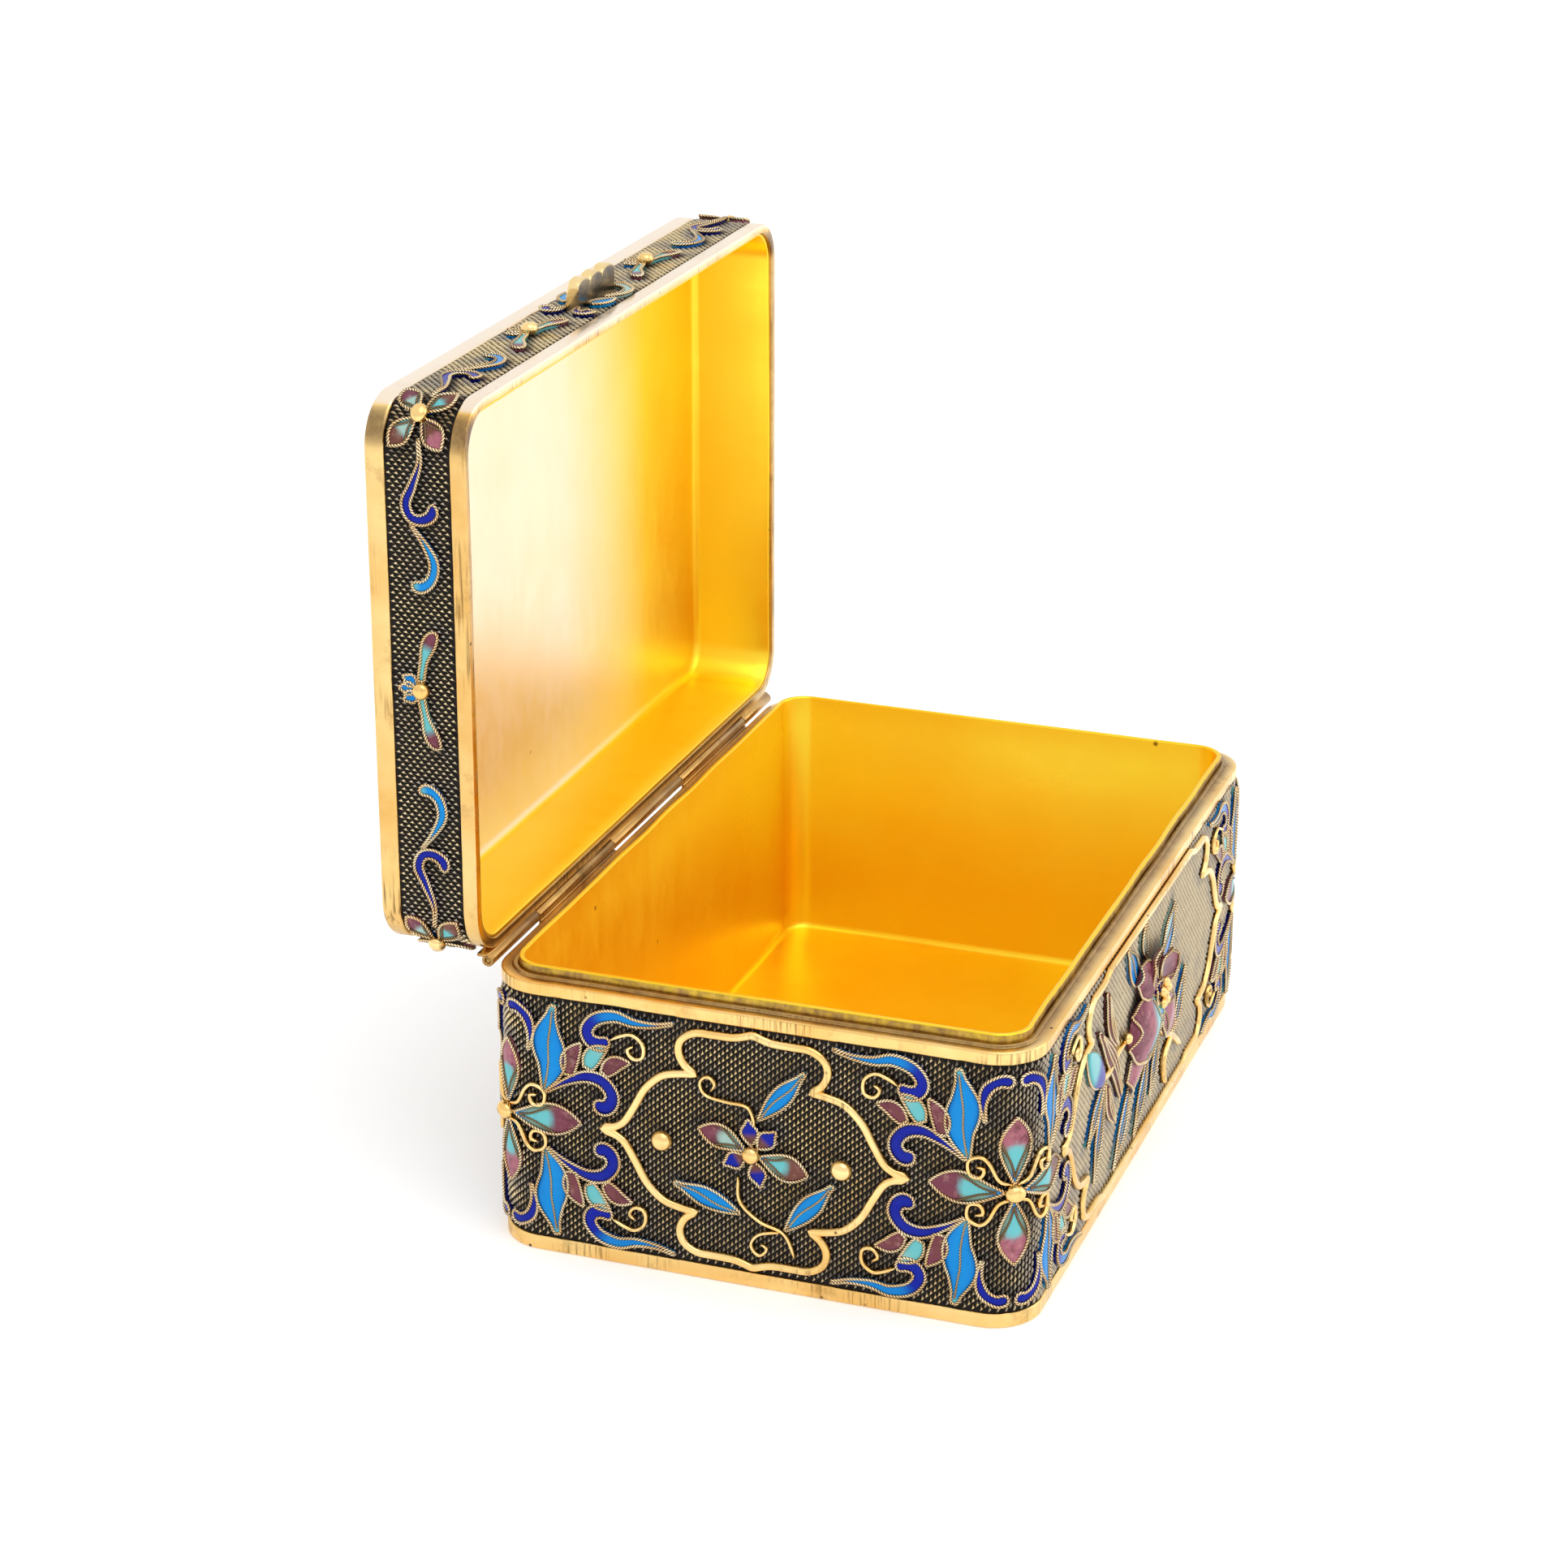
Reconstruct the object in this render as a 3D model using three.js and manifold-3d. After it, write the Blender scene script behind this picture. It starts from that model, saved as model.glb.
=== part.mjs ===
// Enamelled silver-gilt box with a hinged lid, shown with the lid standing open.
// Millimetres, +Z up, X along the hinge, the front towards -Y.
// The origin is the middle of the underside.
import * as THREE from 'three';
import { mergeVertices } from 'three/addons/utils/BufferGeometryUtils.js';
import Module from 'manifold-3d';

const wasm = await Module();
wasm.setup();

// Outline of the box, seen from above
const boxLength = 110;
const boxWidth = 72.6;
const cornerRadius = 6.6;
const cornerSteps = 5;

// Body
const bodyHeight = 38;
const baseRimHeight = 2;
const topRimHeight = 1.8;
const rimThickness = 1.4;
const basePlateThickness = 0.8;
const lipThickness = 0.7;
const floorThickness = 0.8;
const linerInset = 2.3;
const lipHeight = 1.4;
const ledgeStepInset = 1.5;
const ledgeStepHeight = 0.35;
const edgeRound = 0.3;

// Lid
const lidHeight = 13.5;
const lidMouthRimHeight = 2;
const lidTopRimHeight = 2.8;
const lidBorder = 3.2;
const lidLinerThickness = 0.5;
const lidTopThickness = 1.2;
const lidRound = 0.8;
const lipClearance = 0.4;
const mouthGap = 0.2;
const lidOpenAngle = 90;

// Woven wire ground between the rims
const weaveRecess = 0.3;
const weaveThickness = 0.5;

// Hinge
const axisBehind = 0.95;
const axisAbove = 0.45;
const knuckleRadius = 0.8;
const boreRadius = 0.42;
const pinRadius = 0.36;
const knuckleGap = 0.2;
const hingeMargin = 3;
const knuckleShares = [0.148, 0.25, 0.246, 0.248, 0.108];
const leafThickness = 0.5;
const leafHeight = 1.7;
const hingeSides = 10;

// Thumb piece on the front of the lid
const claspWidth = 12.6;
const claspReach = 4.4;
const claspThickness = 2;
const claspLift = 5.3;
const claspLobes = 3;

// Enamelled ornaments, soldered to the woven ground
const seatGap = 0.2;
const enamelHeight = 0.7;
const wireHeight = 0.9;
const wireWidth = 1.1;
const studRadius = 1.35;
const studHeight = 1.4;
const beadRadius = 1.15;
const beadHeight = 1.7;
const beadSides = 8;
const lobeHalfWidth = 1.2;
const edgeTaper = 0.82;
const flowerShift = 1;
const frontDraw = 1.8;
const petalBase = 0.35;
const petalThickness = 0.6;
const petalLift = 1.7;
const peonyShift = 1.5;
const budRadius = 2.2;
const budHeight = 3.1;

// Panels that the ornaments are drawn for; they grow or shrink with the real ones
const drawnLength = 110;
const drawnWidth = 72.6;
const drawnPanelHeight = 34.2;
const drawnBandHeight = 8.7;

// From a side of the panel to the tip of its cartouche: on the ends, on the front, on the top
const endMargin = 16.4;
const longMargin = 13.8;
const topMargin = 15.8;
const topPeakMargin = 11.2;
const topSprayInset = 9.5;
const studSpread = 12;
const bandReach = 22.2;
const butterflyShare = 0.55;

// Sizes that follow from the ones above
const mouthZ = bodyHeight + mouthGap;
const lidTopZ = mouthZ + lidHeight;
const lidWall = linerInset - lipClearance;
const axisY = boxWidth / 2 + axisBehind;
const axisZ = bodyHeight + axisAbove;
const floorZ = basePlateThickness + floorThickness;
const weaveBack = weaveRecess + weaveThickness;
const halfX = boxLength / 2 - cornerRadius;
const halfY = boxWidth / 2 - cornerRadius;
const arc = (Math.PI / 2) * cornerRadius;
const bodyMidZ = (baseRimHeight + bodyHeight - topRimHeight) / 2 + 0.1;
const lidMidZ = mouthZ + (lidMouthRimHeight + lidHeight - lidTopRimHeight) / 2;
const frontCorner = halfX + arc / 2;
const backCorner = frontCorner + arc + 2 * halfY;
const endMiddle = halfX + arc + halfY;
const backMiddle = 2 * (halfX + arc + halfY);

// How far the ornaments are scaled and stretched to fit their panels
const panelScale = (bodyHeight - topRimHeight - baseRimHeight) / drawnPanelHeight;
const bandScale = (lidHeight - lidMouthRimHeight - lidTopRimHeight) / drawnBandHeight;
const topScale = boxWidth / drawnWidth;
const cartoucheTip = drawnWidth / 2 - endMargin;
const endStretch = (boxWidth / 2 / panelScale - endMargin) / cartoucheTip;
const longTip = boxLength / 2 / panelScale - longMargin;
const longStretch = longTip / (drawnLength / 2 - longMargin);
const butterflySpread = claspWidth / 2
  + butterflyShare * (frontCorner - bandReach * bandScale - claspWidth / 2);

const gilt = { color: 0xe8c078, roughness: 0.3, metalness: 1 };
const inner = { color: 0xffb21e, roughness: 0.25, metalness: 1 };
const oxidised = { color: 0x4a4438, roughness: 0.6, metalness: 1 };
const enamel = { color: 0x1466c8, roughness: 0.25, metalness: 0 };

// One named mesh with its own material
function piece(parent, name, geometry, look) {
  const mesh = new THREE.Mesh(geometry, new THREE.MeshStandardMaterial(look));
  mesh.name = name;
  parent.add(mesh);
  return mesh;
}

// Closed solid from corner points and triangles, turned inside out when its volume is negative
function toSolid(points, triangles) {
  let volume = 0;
  for (const [a, b, c] of triangles) {
    const [p, q, r] = [points[a], points[b], points[c]];
    volume += p[0] * (q[1] * r[2] - q[2] * r[1]) - p[1] * (q[0] * r[2] - q[2] * r[0])
      + p[2] * (q[0] * r[1] - q[1] * r[0]);
  }
  const outward = volume > 0 ? triangles : triangles.map(([a, b, c]) => [a, c, b]);
  return new wasm.Manifold(new wasm.Mesh({
    numProp: 3,
    vertProperties: new Float32Array(points.flat()),
    triVerts: new Uint32Array(outward.flat()),
  }));
}

function geometrySolid(geometry) {
  geometry.deleteAttribute('normal');
  geometry.deleteAttribute('uv');
  const merged = mergeVertices(geometry, 1e-4);
  return new wasm.Manifold(new wasm.Mesh({
    numProp: 3,
    vertProperties: new Float32Array(merged.attributes.position.array),
    triVerts: new Uint32Array(merged.index.array),
  }));
}

function toGeometry(solid) {
  const mesh = solid.getMesh();
  const geometry = new THREE.BufferGeometry();
  geometry.setAttribute('position', new THREE.BufferAttribute(mesh.vertProperties, 3));
  geometry.setIndex(new THREE.BufferAttribute(mesh.triVerts, 1));
  geometry.computeVertexNormals();
  return geometry;
}

function join(solids) {
  return toGeometry(solids.reduce((whole, next) => whole.add(next)));
}

// Corner points of the rounded outline, drawn in by an inset
function outline(inset) {
  const radius = Math.max(cornerRadius - inset, 0.2);
  const x = boxLength / 2 - inset - radius;
  const y = boxWidth / 2 - inset - radius;
  const points = [];
  [[x, y], [-x, y], [-x, -y], [x, -y]].forEach(([cx, cy], corner) => {
    for (let step = 0; step <= cornerSteps; step += 1) {
      const angle = (corner + step / cornerSteps) * (Math.PI / 2);
      points.push([cx + radius * Math.cos(angle), cy + radius * Math.sin(angle)]);
    }
  });
  return points;
}

// Solid round the outline. The profile lists [inset, z]; a closed profile gives a ring,
// an open one is capped with a flat plate at its first and last rows.
function sweep(profile, closed) {
  const points = [];
  const triangles = [];
  const count = outline(0).length;
  const rows = profile.length;
  profile.forEach(([inset, z]) => outline(inset).forEach(([x, y]) => points.push([x, y, z])));
  for (let row = 0; row < (closed ? rows : rows - 1); row += 1) {
    const next = (row + 1) % rows;
    for (let i = 0; i < count; i += 1) {
      const j = (i + 1) % count;
      triangles.push([row * count + i, row * count + j, next * count + j]);
      triangles.push([row * count + i, next * count + j, next * count + i]);
    }
  }
  if (!closed) {
    const last = (rows - 1) * count;
    for (let i = 1; i < count - 1; i += 1) {
      triangles.push([0, i + 1, i]);
      triangles.push([last, last + i, last + i + 1]);
    }
  }
  return toGeometry(toSolid(points, triangles));
}

// Place on the wall: s runs counterclockwise round the outline from the middle of the front
function wallPlace(s, offset) {
  const total = 2 * backMiddle;
  const wrapped = s - total * Math.round(s / total);
  const side = Math.sign(wrapped) || 1;
  const t = Math.abs(wrapped);
  const stops = [halfX, halfX + arc, halfX + arc + 2 * halfY, backMiddle - halfX];
  let spot = [backMiddle - t, boxWidth / 2, 0, 1];
  if (t <= stops[0]) {
    spot = [t, -boxWidth / 2, 0, -1];
  } else if (t <= stops[1]) {
    const turn = (t - stops[0]) / cornerRadius;
    const [sin, cos] = [Math.sin(turn), Math.cos(turn)];
    spot = [halfX + cornerRadius * sin, -halfY - cornerRadius * cos, sin, -cos];
  } else if (t <= stops[2]) {
    spot = [boxLength / 2, t - stops[1] - halfY, 1, 0];
  } else if (t <= stops[3]) {
    const turn = (t - stops[2]) / cornerRadius;
    const [sin, cos] = [Math.sin(turn), Math.cos(turn)];
    spot = [halfX + cornerRadius * cos, halfY + cornerRadius * sin, cos, sin];
  }
  return [side * (spot[0] + offset * spot[2]), spot[1] + offset * spot[3]];
}

// Ornament frames: (u, v, h) is across, up and out from the woven ground
function onWall(middle, z, scale, stretch = 1) {
  return (u, v, h) => {
    const [x, y] = wallPlace(middle + u * scale * stretch, seatGap - weaveRecess + h * scale);
    return [x, y, z + v * scale];
  };
}

function onTop(x, y, mirrorX = 1, mirrorY = 1) {
  const ground = lidTopZ - weaveRecess + seatGap;
  return (u, v, h) => [x + mirrorX * u * topScale, y + mirrorY * v * topScale, ground + h * topScale];
}

const leafWidth = (half) => (t) => half * Math.sin(Math.PI * (0.08 + 0.86 * t)) ** 0.8;
const scrollWidth = (half) => (t) => half * (0.25 + 0.75 * Math.sin(Math.PI * (0.1 + 0.75 * t)));
const evenWidth = (half) => () => half;

// Strip along a smooth line through the given points, with a flat or a ridged top
function strip(place, line, halfWidth, steps, height = enamelHeight, ridged = false) {
  const curve = new THREE.CatmullRomCurve3(line.map(([u, v]) => new THREE.Vector3(u, v, 0)));
  const stations = [];
  for (let i = 0; i <= steps; i += 1) {
    const t = i / steps;
    const at = curve.getPointAt(t);
    const along = curve.getTangentAt(t);
    stations.push([at.x, at.y, -along.y * halfWidth(t), along.x * halfWidth(t)]);
  }
  return stripSolid(place, stations, height, false, ridged);
}

function wire(place, line, half, steps, height = enamelHeight) {
  return strip(place, line, evenWidth(half), steps, height, true);
}

// The same strip on a closed line of straight stretches, mitred at its corners
function frame(place, line, half, height) {
  const stations = line.map(([u, v], i) => {
    const before = line[(i + line.length - 1) % line.length];
    const after = line[(i + 1) % line.length];
    const a = new THREE.Vector2(u - before[0], v - before[1]).normalize();
    const b = new THREE.Vector2(after[0] - u, after[1] - v).normalize();
    const mitre = a.clone().add(b).normalize();
    const reach = half / Math.max(mitre.dot(a), 0.6);
    return [u, v, -mitre.y * reach, mitre.x * reach];
  });
  return stripSolid(place, stations, height, true);
}

function stripSolid(place, stations, height, closed, ridged = false) {
  const points = [];
  const triangles = [];
  const section = [[1, 0], [-1, 0], [-edgeTaper, height], [edgeTaper, height]];
  if (ridged) {
    section.splice(2, 2, [0, height]);
  }
  const sides = section.length;
  for (const [u, v, nu, nv] of stations) {
    section.forEach(([side, h]) => points.push(place(u + side * nu, v + side * nv, h)));
  }
  const count = stations.length;
  for (let i = 0; i < (closed ? count : count - 1); i += 1) {
    const j = (i + 1) % count;
    for (let k = 0; k < sides; k += 1) {
      const m = (k + 1) % sides;
      triangles.push([sides * i + k, sides * i + m, sides * j + m]);
      triangles.push([sides * i + k, sides * j + m, sides * j + k]);
    }
  }
  if (!closed) {
    const last = sides * (count - 1);
    for (let k = 1; k < sides - 1; k += 1) {
      triangles.push([0, k + 1, k], [last, last + k, last + k + 1]);
    }
  }
  return toSolid(points, triangles);
}

// Domed bead: a ring at its foot, a narrower one at its shoulder, and a crown
function bead(place, u, v, radius = beadRadius, height = beadHeight) {
  const points = [];
  const triangles = [];
  for (const [width, level] of [[1, 0], [0.86, 0.6]]) {
    for (let i = 0; i < beadSides; i += 1) {
      const angle = (2 * Math.PI * i) / beadSides;
      const reach = radius * width;
      points.push(place(u + reach * Math.cos(angle), v + reach * Math.sin(angle), height * level));
    }
  }
  points.push(place(u, v, height));
  for (let i = 0; i < beadSides; i += 1) {
    const j = (i + 1) % beadSides;
    triangles.push([i, j, beadSides + j], [i, beadSides + j, beadSides + i]);
    triangles.push([beadSides + i, beadSides + j, 2 * beadSides]);
    if (i > 0 && j > 0) {
      triangles.push([0, j, i]);
    }
  }
  return toSolid(points, triangles);
}

// A quarter of the ogee cartouche, from its side tip to its peak, for the short ends of the box
const cartoucheQuarter = [
  [cartoucheTip, 0], [16.4, 2.2], [14, 6.8], [11.4, 9.2], [7.6, 9.9], [9.7, 11.6], [9.8, 13.6], [7, 15.3],
];
const cartouchePeak = 16.1;

// The whole cartouche; on a longer or taller panel its straight runs grow and its lobes stay
function cartouche(place, growU, growV) {
  const grown = cartoucheQuarter.map(([u, v]) => [u + growU, v + growV * Math.min(1, v / 7)]);
  const peak = cartouchePeak + growV;
  const mirrored = (su, sv) => grown.map(([u, v]) => [su * u, sv * v]);
  const line = [
    ...mirrored(1, 1), [0, peak],
    ...mirrored(-1, 1).reverse(), ...mirrored(-1, -1).slice(1),
    [0, -peak], ...mirrored(1, -1).slice(1).reverse(),
  ];
  return toGeometry(frame(place, line, wireWidth / 2, wireHeight));
}

// Pointed petal or leaf between two points, bowed sideways
function blade(place, from, to, half, bow = 0, steps = 3) {
  const middle = [
    (from[0] + to[0]) / 2 - bow * (to[1] - from[1]) / 10,
    (from[1] + to[1]) / 2 + bow * (to[0] - from[0]) / 10,
  ];
  return strip(place, [from, middle, to], leafWidth(half), steps);
}

// Quarter of a corner spray: wire curl from the flower, tall leaf, hooked scroll and, in full, a bud
function cornerQuarter(place, su, sv, draw, full) {
  const at = (u, v) => [su * (u - draw), sv * v];
  const curl = [at(0.6 + draw, 0.6), at(3.6, 3.8), at(6.6, 4.3)];
  const scroll = [at(7.2, 3.4), at(9.9, 5.6), at(12.6, 7), at(15.2, 6.6), at(16.3, 4.6), at(15, 2.7)];
  const solids = [
    wire(place, curl, 0.4, 2),
    blade(place, at(6.5, 3.6), at(7.7, 15.9), 2, su * sv),
    strip(place, scroll, scrollWidth(0.85), 5),
  ];
  if (full) {
    solids.push(blade(place, at(12.2, 6.4), at(15, 11.4), 1.2, 0, 2));
  }
  return solids;
}

// Spray that wraps a corner; its flower stands a little towards the end of the box
function cornerSpray(middle, outwardEnd, full) {
  const place = onWall(middle + outwardEnd * flowerShift * panelScale, bodyMidZ, panelScale);
  const still = onWall(middle, bodyMidZ, panelScale);
  const solids = [
    bead(place, 0, 0),
    blade(place, [-10, 0.2], [10, 0.2], 1.9, 0, 8),
    blade(place, [0, -9.8], [0, 9.8], 1.6, 0, 4),
  ];
  for (const sv of [1, -1]) {
    solids.push(...cornerQuarter(still, outwardEnd, sv, 0, true));
    solids.push(...cornerQuarter(still, -outwardEnd, sv, frontDraw, full));
  }
  return join(solids);
}

// Flower on a curling stem, for the middle of an end, of the back and of the lid
function middleSpray(place) {
  return join([
    bead(place, 0, 0),
    blade(place, [-7.4, 2.4], [7.4, -1.8], 1.7, 0, 4),
    ...[[-0.8, 4.8], [3, 3.6], [-3.8, -2.4], [0.9, -4.4]].map((tip) => (
      blade(place, [0, 0], tip, lobeHalfWidth, 0, 2)
    )),
    wire(place, [[0.3, 0.6], [0.2, 5.4], [-3.4, 6.6], [-6.4, 7.4], [-6.6, 9.4]], 0.4, 5),
    wire(place, [[-0.6, -0.6], [-1.9, -6], [1.6, -10], [4.6, -11], [5.8, -13.4]], 0.4, 5),
    blade(place, [0.2, 3.4], [6.6, 12.4], 1.3, 0.6),
    blade(place, [-0.4, -7.6], [-10.4, -5.8], 1.4, 1),
    blade(place, [3.6, -11], [10.8, -2.6], 1.5, 1),
  ]);
}

// Cupped petal that lifts off the ground, higher along its edges than down its middle
function petal(place, angle, length, half, lift) {
  const [cos, sin] = [Math.cos(angle), Math.sin(angle)];
  const points = [];
  const triangles = [];
  const widths = [0.4, 1, 0.6];
  const sides = 5;
  widths.forEach((width, i) => {
    const t = i / (widths.length - 1);
    const high = petalBase + petalThickness + lift * t;
    const hollow = petalBase + petalThickness + lift * t * 0.5;
    const section = [[1, petalBase], [-1, petalBase], [-1, high], [0, hollow], [1, high]];
    for (const [side, h] of section) {
      const [along, across] = [length * t, side * half * width];
      points.push(place(along * cos - across * sin, along * sin + across * cos, h));
    }
  });
  for (let i = 0; i < widths.length - 1; i += 1) {
    for (let k = 0; k < sides; k += 1) {
      const m = (k + 1) % sides;
      triangles.push([sides * i + k, sides * i + m, sides * (i + 1) + m]);
      triangles.push([sides * i + k, sides * (i + 1) + m, sides * (i + 1) + k]);
    }
  }
  const last = sides * (widths.length - 1);
  triangles.push([0, 3, 1], [1, 3, 2], [0, 4, 3]);
  triangles.push([last, last + 1, last + 3], [last + 1, last + 2, last + 3], [last, last + 3, last + 4]);
  return toSolid(points, triangles);
}

// Peony in high relief with its leaves, twigs and a bud, for the middle of the front
function peony(place) {
  const degrees = Math.PI / 180;
  const petals = [
    [30, 7.8, 3], [95, 7.6, 3], [150, 8.6, 3.2], [212, 9.2, 3.8], [272, 7.8, 3.2], [340, 8.4, 3],
  ];
  const leaves = [
    [[-6, 4], [-13.6, 13.6], 1.8], [[-1.4, 5], [-5.4, 14], 1.5], [[5, 3.6], [12.6, 12.6], 1.9],
    [[6, -2], [19.6, -2.8], 1.7], [[0, -6], [-5.6, -13.2], 1.7], [[-6, -4], [-16.5, -12.6], 1.9],
    [[-15, 1], [-25, 7.6], 1.4], [[-19, 1], [-24, 11.8], 1.5], [[-11, 0.8], [-20, -4], 1.4],
    [[-24, 1.4], [-32, -3.6], 1.7], [[-22, 1], [-26.8, -8.6], 1.6], [[-26, 2.2], [-32, 7], 1.8],
  ];
  const branch = [[-2, 0], [-8, 1.6], [-15, 1], [-22, 1], [-28.8, 3.6]];
  const stem = [[2, -2], [6, -6.6], [10.7, -7.2], [16, -9.6], [19.7, -12.2]];
  return join([
    bead(place, 0, 0, budRadius, budHeight),
    ...petals.map(([turn, length, half]) => petal(place, turn * degrees, length, half, petalLift)),
    ...leaves.map(([from, to, half]) => blade(place, from, to, half, 1, half > 1.75 ? 3 : 2)),
    wire(place, branch, 0.6, 6, wireHeight),
    wire(place, stem, 0.6, 5, wireHeight),
    wire(place, [[10.2, -7.1], [7.6, -9], [4.8, -12.4]], 0.5, 3, wireHeight),
  ]);
}

// Lid band: flower over the corner with a hooked scroll and a comma on each side
function bandSpray(middle) {
  const place = onWall(middle, lidMidZ, bandScale);
  const solids = [bead(place, 0, 0)];
  for (const su of [1, -1]) {
    const at = (u, v) => [su * u, v];
    solids.push(
      blade(place, at(-3, -3.3), at(3, 3.3), 1.15, 0, 4),
      strip(place, [at(0.6, 0), at(5, -0.3), at(9, 1.1), at(12.2, 0.4), at(12.1, -2.2)], scrollWidth(0.75), 5),
      strip(place, [at(12.4, 0.2), at(15.6, -1), at(19, -2.3), at(21.4, -0.4), at(20.8, 1.2)], scrollWidth(0.75), 4),
    );
  }
  return join(solids);
}

function butterfly(place) {
  return join([
    bead(place, 0, 0),
    strip(place, [[-0.4, 0], [-3.6, -0.8], [-6.8, -2.5]], scrollWidth(1), 3),
    strip(place, [[0.4, 0], [3.6, -0.8], [6.8, -2.5]], scrollWidth(1), 3),
    strip(place, [[-1.9, 1.8], [0, 1.4], [1.9, 1.8]], evenWidth(0.75), 2),
  ]);
}

// Flower and two leaves in a corner of the lid's top
function topSpray(place) {
  return join([
    bead(place, 0, 0),
    blade(place, [0.6, 0.2], [6.6, 0.8], 1.5),
    blade(place, [0.2, 0.6], [0.8, 6.6], 1.5),
    blade(place, [-0.3, -0.3], [-3.6, -3.6], 1.3),
    wire(place, [[0.6, -0.4], [6, -3], [12, -2], [15.6, 0.4], [13.8, 2.6]], 0.6, 5),
    wire(place, [[-0.4, 0.6], [-3, 6], [-2, 12], [0.4, 15.6], [2.6, 13.8]], 0.6, 5),
  ]);
}

// Tube along X at the hinge axis
function rod(radius, from, to) {
  const geometry = new THREE.CylinderGeometry(radius, radius, to - from, hingeSides);
  geometry.rotateZ(Math.PI / 2).translate((from + to) / 2, axisY, axisZ);
  return geometrySolid(geometry);
}

// Knuckle with the leaf that is soldered to the rear of the rim, below or above the joint
function knuckle(from, to, onLid) {
  const near = onLid ? mouthZ : bodyHeight;
  const far = onLid ? mouthZ + leafHeight : bodyHeight - leafHeight;
  const leaf = new THREE.BoxGeometry(to - from, leafThickness, Math.abs(far - near));
  leaf.translate((from + to) / 2, (boxWidth + leafThickness) / 2, (near + far) / 2);
  return toGeometry(rod(knuckleRadius, from, to).add(geometrySolid(leaf))
    .subtract(rod(boreRadius, from - 1, to + 1)));
}

// Scalloped shell plate of the thumb piece
function clasp() {
  const lobe = claspWidth / claspLobes;
  const bevel = lobe / 2;
  const shape = new THREE.Shape();
  shape.moveTo(-claspWidth / 2, 0);
  shape.lineTo(-claspWidth / 2, claspReach - bevel);
  for (let i = 0; i < claspLobes; i += 1) {
    const x = -claspWidth / 2 + lobe * (i + 0.5);
    shape.absarc(x, claspReach - bevel, lobe / 2, Math.PI, 0, true);
  }
  shape.lineTo(claspWidth / 2, 0);
  const geometry = new THREE.ExtrudeGeometry(shape, {
    depth: claspThickness, bevelEnabled: false, curveSegments: 6,
  });
  const front = boxWidth / 2 - weaveRecess + seatGap;
  return toGeometry(geometrySolid(geometry).rotate([180, 0, 0])
    .translate([0, -front, mouthZ + claspLift + claspThickness]));
}

const box = new THREE.Group();
const body = new THREE.Group();
box.add(body);

// Body: plate, rims, woven ground and the gilt liner that rises as a lip
const plateInset = rimThickness;
piece(body, 'box_base_plate', sweep([[plateInset, 0], [plateInset, basePlateThickness]], false), gilt);
piece(body, 'box_base_rim', sweep([
  [0, 0], [0, baseRimHeight], [rimThickness, baseRimHeight], [rimThickness, 0],
], true), gilt);
piece(body, 'box_weave_band', sweep([
  [weaveRecess, baseRimHeight], [weaveRecess, bodyHeight - topRimHeight],
  [weaveBack, bodyHeight - topRimHeight], [weaveBack, baseRimHeight],
], true), oxidised);
piece(body, 'box_top_rim', sweep([
  [0, bodyHeight - topRimHeight], [0, bodyHeight - edgeRound], [edgeRound, bodyHeight],
  [ledgeStepInset, bodyHeight], [ledgeStepInset, bodyHeight + ledgeStepHeight],
  [linerInset, bodyHeight + ledgeStepHeight], [linerInset, bodyHeight - topRimHeight],
], true), gilt);
piece(body, 'box_liner', sweep([
  [rimThickness, basePlateThickness], [rimThickness, baseRimHeight], [weaveBack, baseRimHeight],
  [weaveBack, bodyHeight - topRimHeight], [linerInset, bodyHeight - topRimHeight],
  [linerInset, bodyHeight + lipHeight], [linerInset + lipThickness, bodyHeight + lipHeight],
  [linerInset + lipThickness, floorZ],
], false), inner);

// Ornaments of the body
const longGrowth = longTip - cartoucheTip;
const front = onWall(0, bodyMidZ, panelScale);
const back = onWall(backMiddle, bodyMidZ, panelScale);
piece(body, 'cartouche_front', cartouche(front, longGrowth, 0), gilt);
piece(body, 'cartouche_back', cartouche(back, longGrowth, 0), gilt);
piece(body, 'peony_front', peony(onWall(peonyShift, bodyMidZ, panelScale, longStretch)), enamel);
piece(body, 'spray_back', middleSpray(back), enamel);
for (const [name, side] of [['left', -1], ['right', 1]]) {
  const end = onWall(side * endMiddle, bodyMidZ, panelScale, endStretch);
  piece(body, `cartouche_${name}`, cartouche(end, 0, 0), gilt);
  piece(body, `spray_${name}`, middleSpray(end), enamel);
  piece(body, `corner_spray_front_${name}`, cornerSpray(side * frontCorner, side, true), enamel);
  piece(body, `corner_spray_back_${name}`, cornerSpray(side * backCorner, -side, false), enamel);
  for (const [where, u] of [['front', -side], ['back', side]]) {
    const stud = bead(end, u * studSpread, 0, studRadius, studHeight);
    piece(body, `stud_${name}_${where}`, toGeometry(stud), gilt);
  }
}

// The lid is drawn shut, then swung about the hinge axis to its open stop
const swing = new THREE.Group();
swing.position.set(0, axisY, axisZ);
swing.rotation.x = THREE.MathUtils.degToRad(-lidOpenAngle);
const lid = new THREE.Group();
lid.position.set(0, -axisY, -axisZ);
swing.add(lid);
box.add(swing);

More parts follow.
